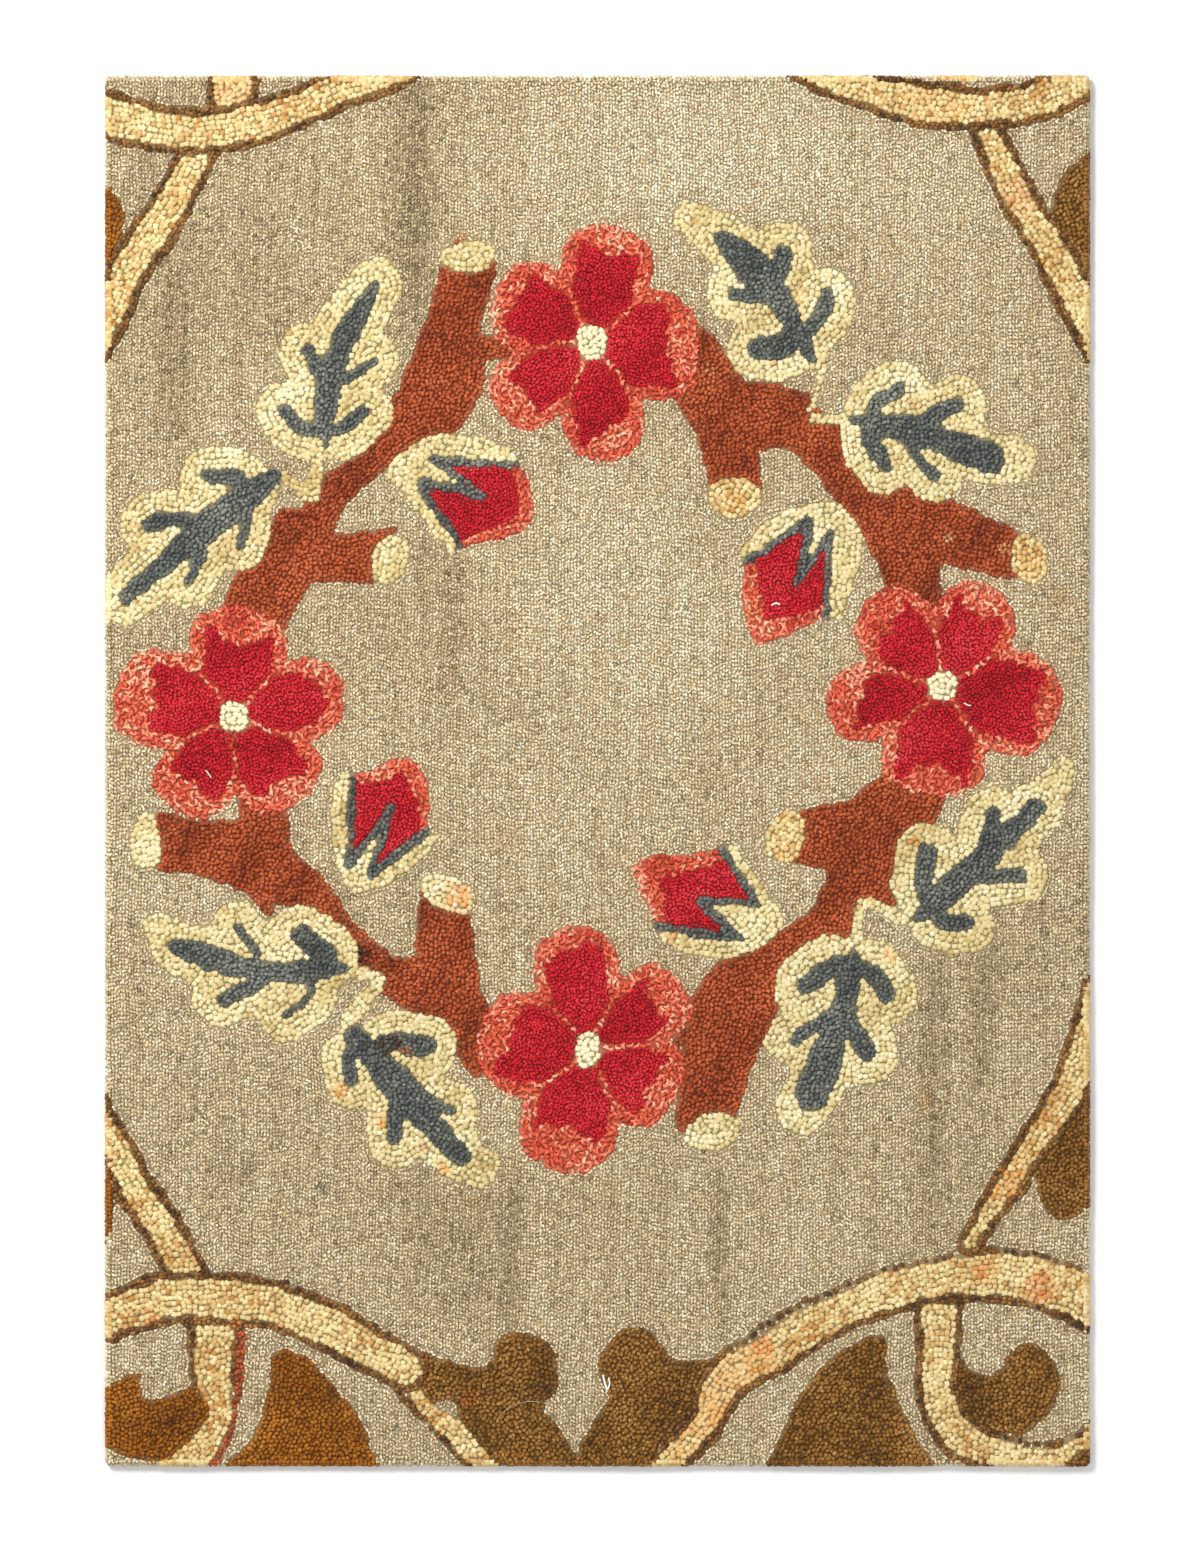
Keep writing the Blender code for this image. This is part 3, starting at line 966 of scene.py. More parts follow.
def crossing_links(above):
    """Which crossings of a contour with the sides of the grid's squares follow each other.

    A crossing has the number of the point before it, and as much again as the grid has points if it lies on
    a side that runs along the rug.
    """
    flat_cross = above[:, :-1] != above[:, 1:]
    steep_cross = above[:-1] != above[1:]
    number = np.arange(above.size).reshape(above.shape)
    sides = np.stack((
        np.where(flat_cross[:-1], number[:-1, :-1], -1),
        np.where(steep_cross[:, 1:], above.size + number[:-1, 1:], -1),
        np.where(flat_cross[1:], number[1:, :-1], -1),
        np.where(steep_cross[:, :-1], above.size + number[:-1, :-1], -1),
    ), axis=-1).reshape(-1, 4)
    count = (sides >= 0).sum(axis=1)
    pairs = [sides[count == 2][sides[count == 2] >= 0].reshape(-1, 2), sides[count == 4].reshape(-1, 2)]
    links = {}
    for first, second in np.vstack(pairs).tolist():
        links.setdefault(first, []).append(second)
        links.setdefault(second, []).append(first)
    return links


def contour_rows(chart, depth, level):
    """Lines along which a depth has one value, each as an array of places."""
    links = crossing_links(depth > level)

    def place_of(edge):
        steep = edge >= depth.size
        row, column = divmod(edge - depth.size if steep else edge, depth.shape[1])
        near = depth[row, column]
        far = depth[row + 1, column] if steep else depth[row, column + 1]
        share = (level - near) / (far - near)
        if steep:
            return chart.left + column * CELL, chart.low + (row + share) * CELL
        return chart.left + (column + share) * CELL, chart.low + row * CELL

    rows = []
    starts = [edge for edge, others in links.items() if len(others) == 1] + list(links)
    used = set()
    for start in starts:
        if start in used:
            continue
        chain = [start]
        used.add(start)
        while True:
            onward = [edge for edge in links[chain[-1]] if edge not in used]
            if not onward:
                break
            used.add(onward[0])
            chain.append(onward[0])
        if len(chain) < FEWEST_POINTS:
            continue
        route = np.array([place_of(edge) for edge in chain])
        if chain[0] in links[chain[-1]]:
            route = np.vstack((route, route[:1]))
        rows.append(route)
    return rows


def evened(route):
    """A row with the steps of the grid smoothed out of it."""
    if len(route) < EVENED + 2:
        return route
    reach = EVENED // 2
    if np.allclose(route[0], route[-1]):
        padded = np.vstack((route[-1 - reach:-1], route, route[1:1 + reach]))
    else:
        padded = np.pad(route, ((reach, reach), (0, 0)), mode="edge")
    kernel = np.ones(EVENED) / EVENED
    return np.stack([np.convolve(padded[:, axis], kernel, mode="valid") for axis in (0, 1)], axis=1)


def along_row(route, step, chance):
    """Places and ways of loops that are hooked at an even step along a row."""
    so_far = travel(route)
    count = int(round(so_far[-1] / step))
    if count < 1:
        return np.zeros((0, 3))
    stops = (np.arange(count) + 0.5 + chance.uniform(-UNEVEN, UNEVEN, count)) * so_far[-1] / count
    run = places_at(route, so_far, stops + LOOK_AHEAD) - places_at(route, so_far, stops - LOOK_AHEAD)
    return np.column_stack((places_at(route, so_far, stops), np.arctan2(run[:, 1], run[:, 0])))


class Taken:
    """A fine grid that remembers which places have a loop near them."""

    def __init__(self, chart):
        self.origin = (chart.left, chart.low)
        shape = tuple(int((side + CHART_MARGIN) * CELL / FINE_CELL) for side in chart.wool.shape)
        self.close = np.zeros(shape, dtype=bool)
        self.covered = np.zeros(shape, dtype=bool)

    @staticmethod
    def disc(radius):
        cells = int(radius / FINE_CELL)
        rows, columns = np.mgrid[-cells:cells + 1, -cells:cells + 1]
        inside = np.hypot(rows, columns) * FINE_CELL <= radius
        return rows[inside], columns[inside]

    def add(self, places, spacing, cover, need_bare=False):
        """Takes the places that no loop stands close to, in order, and returns those that it took."""
        marks = ((self.close, *self.disc(spacing)), (self.covered, *self.disc(cover)))
        limit = np.array(self.close.shape)[::-1] - 1
        cells = np.clip(np.round((places[:, :2] - self.origin) / FINE_CELL).astype(int), 0, limit)
        taken = []
        for index, (column, row) in enumerate(cells.tolist()):
            if self.close[row, column] or (need_bare and self.covered[row, column]):
                continue
            taken.append(index)
            for grid, rows, columns in marks:
                grid[np.clip(rows + row, 0, limit[1]), np.clip(columns + column, 0, limit[0])] = True
        return places[taken]


def edge_rows(chart, depth, level, step, stray, chance):
    """Rows of loops along the lines that lie at one depth inside an area."""
    for route in contour_rows(chart, depth, level):
        places = along_row(evened(route), step, chance)
        places[:, :2] += chance.normal(0, stray, (len(places), 2))
        yield places


def spare_places(chart, depth, least, chance):
    """The cells that lie deep enough inside an area, in random order."""
    rows, columns = np.nonzero(depth > least)
    order = chance.permutation(len(rows))
    return np.stack((chart.left + columns[order] * CELL, chart.low + rows[order] * CELL), axis=1)


def motif_rows(chart, name, taken, chance):
    """Loops of one wool of the pattern: rows that follow its edge, then loops in the bare places left."""
    wool = wool_now(name)
    depth = depth_inside(chart.wool == WOOL_NAMES.index(name), wool.reach)
    spacing = CLOSEST * min(wool.row, wool.step)
    cover = MOTIF_COVER * (wool.row + wool.step)
    loops = []
    level = wool.row / 2
    while level < min(depth.max(), wool.reach - 1):
        for places in edge_rows(chart, depth, level, wool.step, wool.stray, chance):
            loops.append(taken.add(places, spacing, cover))
        level += wool.row
    spare = spare_places(chart, depth, MOTIF_BARE * wool.row, chance)
    spare = np.column_stack((spare, chance.uniform(0, math.pi, len(spare))))
    loops.append(taken.add(spare, spacing, cover, need_bare=True))
    return np.vstack(loops)


def line_rows(chart, name, taken, chance):
    """Loops of the single rows that are drawn in one wool."""
    loops = [np.zeros((0, 3))]
    for wool, route, width in chart.lines:
        if wool == name:
            places = along_row(smooth_route(route, steps=4), LINE_STEP * width, chance)
            loops.append(taken.add(places, LINE_CLOSEST * width, LINE_COVER * width))
    return np.vstack(loops)


def straight_rows(wool, chance):
    """Lengthways rows of ground loops all over the rug, which sway a little."""
    columns = np.arange(-HALF_WIDTH - wool.row, HALF_WIDTH + wool.row, wool.row)
    steps = np.arange(-HALF_LENGTH - wool.step, HALF_LENGTH + wool.step, wool.step)
    x, y = np.meshgrid(columns, steps)
    y = y + chance.uniform(0, wool.step, len(columns))[None, :] + chance.normal(0, STEP_STRAY, x.shape)
    reach, along, bend, across = SLOW_SWAY
    sway = reach * np.sin(y / along + bend * np.sin(x / across))
    reach, along, across = QUICK_SWAY
    sway += reach * np.sin(y / along + x / across)
    x = x + sway + chance.normal(0, wool.stray, x.shape)
    return np.column_stack((x.ravel(), y.ravel()))


def lengthways(places):
    return np.column_stack((places, np.full(len(places), math.pi / 2)))


def ground_rows(chart, taken, chance):
    """Loops of the ground: one row round the pattern, then the straight rows, then the bare places left."""
    wool = wool_now("ground")
    depth = depth_inside(chart.wool == 0, wool.reach)
    spacing = CLOSEST * wool.row
    cover = GROUND_COVER * (wool.row + wool.step)
    loops = []
    for places in edge_rows(chart, depth, wool.row / 2, wool.step, EDGE_STRAY, chance):
        loops.append(taken.add(places, spacing, cover))
    places = straight_rows(wool, chance)
    places = places[depth[chart.cells(*places.T)] > FIRST_STRAIGHT * wool.row]
    loops.append(taken.add(lengthways(places), spacing, cover))
    spare = spare_places(chart, depth, GROUND_BARE * wool.row, chance)
    loops.append(taken.add(lengthways(spare), spacing, cover, need_bare=True))
    return np.vstack(loops)


def rim_path(step, reach):
    """Places round the flat of the pile with the way that faces outward, at a step along a reach outside."""
    half_sizes = (HALF_WIDTH - RIM, HALF_LENGTH - RIM)
    places = []
    for index, sides in enumerate(CORNERS):
        corner = np.array(sides) * half_sizes
        start = math.pi / 2 * index
        turns = max(int(reach * math.pi / 2 / step), 1)
        for turn in range(turns):
            places.append((*corner, start + math.pi / 2 * (turn + 0.5) / turns))
        run = np.array(CORNERS[(index + 1) % 4]) * half_sizes - corner
        count = int(math.hypot(*run) / step)
        for stop in range(count):
            places.append((*(corner + run * (stop + 0.5) / count), start + math.pi / 2))
    return np.array(places)


def pointing(ways):
    """Level vectors of unit length that point each way."""
    return np.stack((np.cos(ways), np.sin(ways), np.zeros(len(ways))), axis=1)


@lru_cache
def hooking():
    """Every loop of the rug by its wool, as rows of x, y, way, tilt outward and the way of that tilt."""
    chart = pattern()
    chance = np.random.default_rng(SEED)
    taken = Taken(chart)
    loops = {name: [line_rows(chart, name, taken, chance)] for name in WOOL_NAMES}
    for name in WOOL_NAMES[1:]:
        loops[name].append(motif_rows(chart, name, taken, chance))
    loops["ground"].append(ground_rows(chart, taken, chance))
    for name in WOOL_NAMES:
        rows = np.pad(np.vstack(loops[name]), ((0, 0), (0, 2)))
        flat = (np.abs(rows[:, 0]) < HALF_WIDTH - RIM) & (np.abs(rows[:, 1]) < HALF_LENGTH - RIM)
        loops[name] = [rows[flat]]
    for tilt in RIM_ROWS:
        reach = RIM * math.sin(tilt)
        rim = rim_path(RIM_STEP, reach)
        rim[:, :2] += chance.normal(0, RIM_STRAY, (len(rim), 2))
        outside = rim[:, :2] + (reach + 1) * pointing(rim[:, 2])[:, :2]
        names = chart.wool_at(*outside.T)
        names[names == LINE] = 0
        for number, name in enumerate(WOOL_NAMES):
            mine = rim[names == number]
            way = mine[:, 2:] + math.pi / 2
            loops[name].append(np.hstack((mine[:, :2], way, np.full_like(way, tilt), mine[:, 2:])))
    return {name: np.vstack(rows) for name, rows in loops.items()}


def shape_curl(mesh):
    """A three-sided length of strip, bent sideways, with drooping ends."""
    bmesh.ops.create_cone(
        mesh, cap_ends=True, segments=3, radius1=CURL_RADIUS, radius2=CURL_RADIUS, depth=1.0,
        matrix=Matrix.Rotation(math.pi / 2, 4, "Y"))
    bmesh.ops.translate(mesh, verts=mesh.verts, vec=(0, 0, -0.5))
    long_edges = [edge for edge in mesh.edges if abs((edge.verts[0].co - edge.verts[1].co).x) > 0.5]
    bmesh.ops.subdivide_edges(mesh, edges=long_edges, cuts=2)
    for vert in mesh.verts:
        vert.co.y += CURL_BEND * (0.25 - vert.co.x ** 2)
        vert.co.z -= CURL_DROOP * vert.co.x ** 2


def shape_box(mesh, kind):
    """A box with its crown drawn in, to a ridge, to a pillow or to the round shoulders of a brick."""
    bmesh.ops.create_cube(mesh, size=1.0, matrix=Matrix.Translation((0, 0, -0.5)))
    crown = [vert for vert in mesh.verts if vert.co.z > -0.1]
    bmesh.ops.scale(mesh, verts=crown, vec=(*CROWNS[kind], 1.0))
    if kind == "ridge":
        bmesh.ops.remove_doubles(mesh, verts=mesh.verts, dist=0.001)
    if kind == "brick":
        bmesh.ops.translate(mesh, verts=crown, vec=(0, 0, -BRICK_SHOULDER))
        top = [face for face in mesh.faces if face.normal.z > 0.9]
        bmesh.ops.inset_region(mesh, faces=top, thickness=BRICK_INSET, depth=BRICK_SHOULDER)


def loop_shape(kind):
    """One loop of strip lying along x, a unit long, wide and deep, with its crown at the origin."""
    mesh = bmesh.new()
    if kind == "curl":
        shape_curl(mesh)
    else:
        shape_box(mesh, kind)
    bmesh.ops.recalc_face_normals(mesh, faces=mesh.faces)
    return mesh


@lru_cache
def pile_surface():
    """The top of the frame's solid, to set the crowns on."""
    return BVHTree.FromObject(frame["nodes"][NODE], bpy.context.evaluated_depsgraph_get())


def pile_heights(x, y):
    """Height of the frame's top in millimetres at each place."""
    tree = pile_surface()
    down = Vector((0, 0, -1))
    heights = []
    for across, along in zip((x * MM).tolist(), (y * MM).tolist()):
        hit = tree.ray_cast(Vector((across, along, 1.0)), down)[0]
        if hit is None:
            raise RuntimeError("a loop stands outside the rug")
        heights.append(hit.z / MM)
    return np.array(heights)


def soft_noise(x, y, scale, chance):
    """A smooth random value for each place, from waves about one scale long."""
    value = np.zeros_like(x)
    for _ in range(NOISE_WAVES):
        way = chance.uniform(0, math.pi)
        length = scale * chance.uniform(*NOISE_LENGTHS)
        phase = chance.uniform(0, 2 * math.pi)
        value += np.sin((x * math.cos(way) + y * math.sin(way)) * 2 * math.pi / length + phase)
    return value / NOISE_SUM


def ground_tone(x, y, chance):
    """Change of tone of each ground loop: its strip's own dye, darker or paler lengthways streaks and slow
    fading.
    """
    tone = np.zeros_like(x)
    for strength, squeeze, scale in GROUND_FADING:
        tone += strength * soft_noise(squeeze * x, y, scale, chance)
    for streak in STREAKS:
        across = (x - streak.x) / streak.half_width
        along = (y - streak.y) / streak.half_length
        tone += streak.tone * np.exp(-across ** 2 - along ** 4)
    stagger, by_column, by_strip, spread = HASH
    column = np.round(x / wool_now("ground").row).astype(int)
    strip = np.floor(y / STRIP_LENGTH + STRIP_SHIFT * np.sin(column * stagger)).astype(int)
    hashed = np.sin(column * by_column + strip * by_strip) * spread
    return tone + STRIP_TONE * (2 * (hashed - np.floor(hashed)) - 1)


def loop_colours(name, loops, chance):
    """A linear colour for each loop: its wool's dye lots, fading, streaks and spots."""
    wool = wool_now(name)
    x, y = loops[:, 0], loops[:, 1]
    if name == "ground":
        tone = ground_tone(x, y, chance)
    else:
        tone = MOTIF_FADING[0] * soft_noise(x, y, MOTIF_FADING[1], chance)
    tone = tone + chance.normal(0, wool.spread, len(loops))
    mid, light, dark = (np.array(colour) for colour in (wool.mid, wool.light, wool.dark))
    lift = np.clip(tone, 0, 1)[:, None]
    drop = np.clip(-tone, 0, 1)[:, None]
    colours = mid + (light - mid) * lift + (dark - mid) * drop
    if name == "cream":
        for flower in FLOWERS:
            eye = np.hypot(x - flower.x, y - flower.y) < EYE_REACH * FLOWER_EYE
            colours[eye] += (light - colours[eye]) * EYE_PALER
    for spot in SPOTS:
        if pattern().wool_at(spot.x, spot.y) != WOOL_NAMES.index(name):
            continue
        near = np.clip(SPOT_EDGE - np.hypot(x - spot.x, y - spot.y) / spot.radius, 0, 1)
        share = np.clip(near * SPOT_SLOPE, 0, 1) * spot.strength * chance.uniform(*SPOT_SHARES, len(x))
        colours += (np.array(linear(spot.colour)) - colours) * share[:, None]
    return colours


def axes_of(along, up):
    """Three axes for each of some copies, as rows of a matrix."""
    return np.stack((along, np.cross(up, along), up), axis=1)


def loop_frames(loops, chance):
    """For each loop its own three axes, turned along its row and tilted over the rim."""
    along = pointing(loops[:, 2])
    tilt, outward = loops[:, 3], loops[:, 4]
    up = np.sin(tilt)[:, None] * pointing(outward)
    for axis in (0, 1):
        up[:, axis] += chance.normal(0, LEAN, len(loops))
    up[:, 2] = np.cos(tilt)
    up /= np.linalg.norm(up, axis=1)[:, None]
    along -= up * (along * up).sum(axis=1)[:, None]
    along /= np.linalg.norm(along, axis=1)[:, None]
    return axes_of(along, up)


def loop_places(loops, chance):
    """Where each loop's crown is: on the frame's top, or round its rim."""
    places = np.zeros((len(loops), 3))
    flat = loops[:, 3] == 0
    places[:, :2] = loops[:, :2]
    places[flat, 2] = pile_heights(loops[flat, 0], loops[flat, 1])
    rim = loops[~flat]
    if len(rim):
        inset_x = np.clip(rim[:, 0], -HALF_WIDTH + RIM + 1, HALF_WIDTH - RIM - 1)
        inset_y = np.clip(rim[:, 1], -HALF_LENGTH + RIM + 1, HALF_LENGTH - RIM - 1)
        places[~flat] += (RIM * np.sin(rim[:, 3]))[:, None] * pointing(rim[:, 4])
        places[~flat, 2] = pile_heights(inset_x, inset_y) - RIM * (1 - np.cos(rim[:, 3]))
    places[:, 2] += chance.normal(0, CROWN_UNEVEN, len(loops))
    return places


def join_copies(piece_name, kind, sizes, frames, places):
    """One mesh of many copies of a small shape, each with its own size, axes and place."""
    shape = loop_shape(kind)
    corners = np.array([vert.co for vert in shape.verts])
    faces = [[vert.index for vert in face.verts] for face in shape.faces]
    shape.free()
    copies = len(places)
    points = np.einsum("nvj,njk->nvk", corners[None] * sizes[:, None], frames) + places[:, None]
    counts = np.array([len(face) for face in faces])
    indices = np.concatenate(faces)
    offsets = np.arange(copies)[:, None] * len(corners)
    mesh = bpy.data.meshes.new(piece_name)
    mesh.vertices.add(copies * len(corners))
    mesh.vertices.foreach_set("co", (points * MM).ravel().astype(np.float32))
    mesh.loops.add(copies * len(indices))
    mesh.loops.foreach_set("vertex_index", (offsets + indices[None]).ravel().astype(np.int32))
    starts = np.concatenate(((0,), np.cumsum(np.tile(counts, copies))[:-1]))
    mesh.polygons.add(copies * len(faces))
    mesh.polygons.foreach_set("loop_start", starts.astype(np.int32))
    mesh.update(calc_edges=True)
    mesh.validate()
    mesh.shade_smooth()
    return mesh, corners


def painted_pile_shade(corners):
    """Tone of each point of a loop: painted shade deep in the pile between the loops, and a painted lighter
    crown.
    """
    return PAINTED_CROWN_LIGHT - PAINTED_FOOT_SHADE * np.clip(-corners[:, 2], 0, 1)


def colour_points(mesh, colours, painted_shades=None):
    """Stores a linear colour for each point in the attribute that the wool materials read, darkened or
    lightened by a painted shade for each point if one is given.
    """
    attribute = mesh.color_attributes.new("wool", "FLOAT_COLOR", "POINT")
    values = np.ones((len(mesh.vertices), 4), dtype=np.float32)
    values[:, :3] = colours
    if painted_shades is not None:
        values[:, :3] *= painted_shades[:, None]
    attribute.data.foreach_set("color", np.clip(values, 0, 1).ravel())


def points_of(mesh):
    """Places of a mesh's points, in metres."""
    points = np.empty(len(mesh.vertices) * 3, dtype=np.float32)
    mesh.vertices.foreach_get("co", points)
    return points.reshape(-1, 3)


def chart_uv(mesh):
    """Lays the piece's texture out flat, as the chart is."""
    corner_points = np.empty(len(mesh.loops), dtype=np.int32)
    mesh.loops.foreach_get("vertex_index", corner_points)
    size = (2 * HALF_WIDTH + UV_MARGIN, 2 * HALF_LENGTH + UV_MARGIN)
    layer = mesh.uv_layers.new(name="OFBake")
    flat = points_of(mesh)[corner_points, :2] / MM
    layer.data.foreach_set("uv", (flat / size + 0.5).ravel().astype(np.float32))


def rug_pieces():
    """The collection of the rug's pieces."""
    collection = bpy.data.collections.get("rug_pieces")
    if collection is None:
        collection = bpy.data.collections.new("rug_pieces")
        bpy.context.scene.collection.children.link(collection)
    return collection


def add_piece(piece_name, mesh):
    """Puts a mesh in the scene as a piece that goes with the rug, in place of an earlier one."""
    earlier = bpy.data.objects.get(piece_name)
    if earlier is not None:
        bpy.data.objects.remove(earlier, do_unlink=True)
    piece = bpy.data.objects.new(piece_name, mesh)
    rug_pieces().objects.link(piece)
    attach(piece, "root")
    return piece


def node_of(tree, kind, settings=None, links=None):
    """Adds a shader node, sets its properties and sockets and links its inputs."""
    node = tree.nodes.new(kind)
    for key, value in (settings or {}).items():
        if isinstance(key, str) and hasattr(node, key):
            setattr(node, key, value)
        else:
            node.inputs[key].default_value = value
    for key, socket in (links or {}).items():
        tree.links.new(socket, node.inputs[key])
    return node


def new_material(name, settings):
    """A material with its tree and its shader, whose own sockets are set."""
    material = bpy.data.materials.new(name)
    material.use_nodes = True
    shader = material.node_tree.nodes["Principled BSDF"]
    for key, value in settings.items():
        shader.inputs[key].default_value = value
    return material, material.node_tree, shader


def kept_material(name, make, *values):
    """A material that pieces share, made when it is first needed."""
    return bpy.data.materials.get(name) or make(name, *values)


def wool_material(name, fleck_mm, fleck, fibre_mm, fibre_bump, sheen):
    """Hooked wool strip: matt, furry at its edges, with flecks of other fibres and a fibrous surface."""
    material, tree, shader = new_material(name, {
        "Roughness": 0.95, "Specular IOR Level": 0.15, "Sheen Weight": sheen, "Sheen Roughness": 0.6})
    place = node_of(tree, "ShaderNodeTexCoord").outputs["Object"]
    # The wool attribute holds the loops' colours with painted shade towards each foot and painted light at
    # each crown.
    dye = node_of(tree, "ShaderNodeAttribute", {"attribute_name": "wool"})
    flecks = node_of(
        tree, "ShaderNodeTexNoise",
        {"Scale": 1 / (fleck_mm * MM), "Detail": 2.0, "Roughness": 0.6}, {"Vector": place})
    spread = node_of(
        tree, "ShaderNodeMapRange",
        {"From Min": 0.34, "From Max": 0.66, "To Min": 1 - fleck, "To Max": 1 + fleck},
        {"Value": flecks.outputs["Fac"]})
    colour = node_of(
        tree, "ShaderNodeVectorMath", {"operation": "SCALE"},
        links={0: dye.outputs["Color"], "Scale": spread.outputs["Result"]})
    fibres = node_of(
        tree, "ShaderNodeTexNoise",
        {"Scale": 1 / (fibre_mm * MM), "Detail": 3.0, "Roughness": 0.65, "Distortion": 0.6},
        {"Vector": place})
    bump = node_of(
        tree, "ShaderNodeBump", {"Strength": fibre_bump, "Distance": 0.35 * MM},
        {"Height": fibres.outputs["Fac"]})
    tree.links.new(colour.outputs["Vector"], shader.inputs["Base Color"])
    tree.links.new(bump.outputs["Normal"], shader.inputs["Normal"])
    return material


def hook_wool(name, left=-math.inf, right=math.inf, suffix=""):
    """Hooks the loops of one wool, or those of them between two places across the rug."""
    wool = wool_now(name)
    loops = hooking()[name].copy()
    chance = np.random.default_rng(SEED + WOOL_NAMES.index(name))
    colours = loop_colours(name, loops, chance)
    loops[:, 2] += chance.normal(0, wool.twist, len(loops))
    sizes = np.array((wool.step, wool.row, wool.crown)) * LOOP_FILL
    sizes = sizes * chance.normal(1.0, LOOP_SPREAD, (len(loops), 3))
    if wool.shape == "curl":
        sizes[:, 1] *= CURL_WIDTH * chance.choice((-1.0, 1.0), len(loops))
    mine = (loops[:, 0] >= left) & (loops[:, 0] < right)
    frames = loop_frames(loops[mine], chance)
    places = loop_places(loops[mine], chance)
    piece_name = f"{name}_loops{suffix}"
    mesh, corners = join_copies(piece_name, wool.shape, sizes[mine], frames, places)
    colours = np.repeat(colours[mine], len(corners), axis=0)
    # Painted shade: each loop's points are darker towards its foot and lighter at its crown.
    colour_points(mesh, colours, np.tile(painted_pile_shade(corners), len(places)))
    chart_uv(mesh)
    piece = add_piece(piece_name, mesh)
    mesh.materials.append(kept_material(f"{name}_wool_strip", wool_material, *CLOTHS[name]))
    return piece


def hook_ground():
    """Hooks the ground in parts that lie side by side."""
    edges = np.linspace(-HALF_WIDTH - PARTS_MARGIN, HALF_WIDTH + PARTS_MARGIN, GROUND_PARTS + 1)
    for number, (left, right) in enumerate(zip(edges, edges[1:]), start=1):
        hook_wool("ground", left, right, f"_{number}")


def chart_grid(step, half_width, half_length):
    """Evenly spaced places over a rectangle, as rows of x and of y."""
    across = np.linspace(-half_width, half_width, int(2 * half_width / step) + 1)
    along = np.linspace(-half_length, half_length, int(2 * half_length / step) + 1)
    return np.meshgrid(across, along)


def mesh_data(mesh, name, smooth=True):
    """Turns a working mesh into the data of an object."""
    data = bpy.data.meshes.new(name)
    mesh.to_mesh(data)
    mesh.free()
    if smooth:
        data.shade_smooth()
    return data


def grid_slab(piece_name, x, y, top, bottom):
    """A closed slab between the height at each place of a grid and one level, in millimetres."""
    rows, columns = x.shape
    mesh = bmesh.new()
    upper, lower = (
        [mesh.verts.new(place) for place in zip(x.ravel() * MM, y.ravel() * MM, height.ravel() * MM)]
        for height in (top, np.full_like(top, bottom))
    )
    for row in range(rows - 1):
        for column in range(columns - 1):
            at = row * columns + column
            mesh.faces.new((upper[at], upper[at + 1], upper[at + columns + 1], upper[at + columns]))
    rim = (
        list(range(columns - 1))
        + [row * columns + columns - 1 for row in range(rows - 1)]
        + [(rows - 1) * columns + column for column in range(columns - 1, 0, -1)]
        + [row * columns for row in range(rows - 1, 0, -1)]
    )
    for here, there in zip(rim, rim[1:] + rim[:1]):
        mesh.faces.new((upper[there], upper[here], lower[here], lower[there]))
    mesh.faces.new([lower[at] for at in reversed(rim)])
    loose = [vert for vert in mesh.verts if not vert.link_faces]
    bmesh.ops.delete(mesh, geom=loose, context="VERTS")
    return mesh_data(mesh, piece_name)


def base_colours(mesh, share):
    """Colours the points of a slab with a share of the wools that are hooked round them."""
    points = points_of(mesh).astype(float) / MM
    palette = np.array([wool_now(name).mid for name in WOOL_NAMES])
    total = np.zeros((len(points), 3))
    for aside in BLEND:
        for ahead in BLEND:
            names = pattern().wool_at(points[:, 0] + aside, points[:, 1] + ahead)
            names[names == LINE] = WOOL_NAMES.index("coral")
            total += palette[names]
    colour_points(mesh, total * share / len(BLEND) ** 2)


def add_slab(slab, x, y, top, material):
    """Adds a slab of packed wool, in the colours of the pattern over it."""
    mesh = grid_slab(slab.name, x, y, top, slab.level)
    base_colours(mesh, slab.share)
    chart_uv(mesh)
    piece = add_piece(slab.name, mesh)
    mesh.materials.append(material)
    return piece


def pack_pile():
    """The standing sides of the loops, packed too close to be told apart, as one slab below the crowns."""
    x, y = chart_grid(PACKED.grid, HALF_WIDTH - RIM, HALF_LENGTH - RIM)
    packed = cloth_size("packed")
    top = pile_heights(x.ravel(), y.ravel()).reshape(x.shape) - packed
    for set_out, drop in PACKED_RIM:
        x, y, top = (np.pad(rows, 1, mode="edge") for rows in (x, y, top))
        x[:, 0], x[:, -1] = -HALF_WIDTH + RIM - set_out, HALF_WIDTH - RIM + set_out
        y[0], y[-1] = -HALF_LENGTH + RIM - set_out, HALF_LENGTH - RIM + set_out
        for edge in (np.s_[0], np.s_[-1], np.s_[:, 0], np.s_[:, -1]):
            top[edge] = np.minimum(top[edge], PILE_HEIGHT - packed - drop)
    # The slab takes half the wools' colours, as painted shade below the crowns.
    return add_slab(PACKED, x, y, top, kept_material("packed_wool", wool_material, *CLOTHS["packed"]))


def lay_backs():
    """The flat backs of the strips, row beside row on the underside."""
    chance = np.random.default_rng(SEED)
    inset = cloth_size("hem_width") + BACK_GAP
    x, y = chart_grid(BACKS.grid, HALF_WIDTH - inset, HALF_LENGTH - inset)
    middle, swell, scale = BACK_HEIGHTS
    under = np.clip(middle + swell * soft_noise(x, y, scale, chance), *BACK_LIMITS)
    material = kept_material("wool_strip_backs", strip_back_material, *CLOTHS["backs"])
    return add_slab(BACKS, x, -y, under, material)


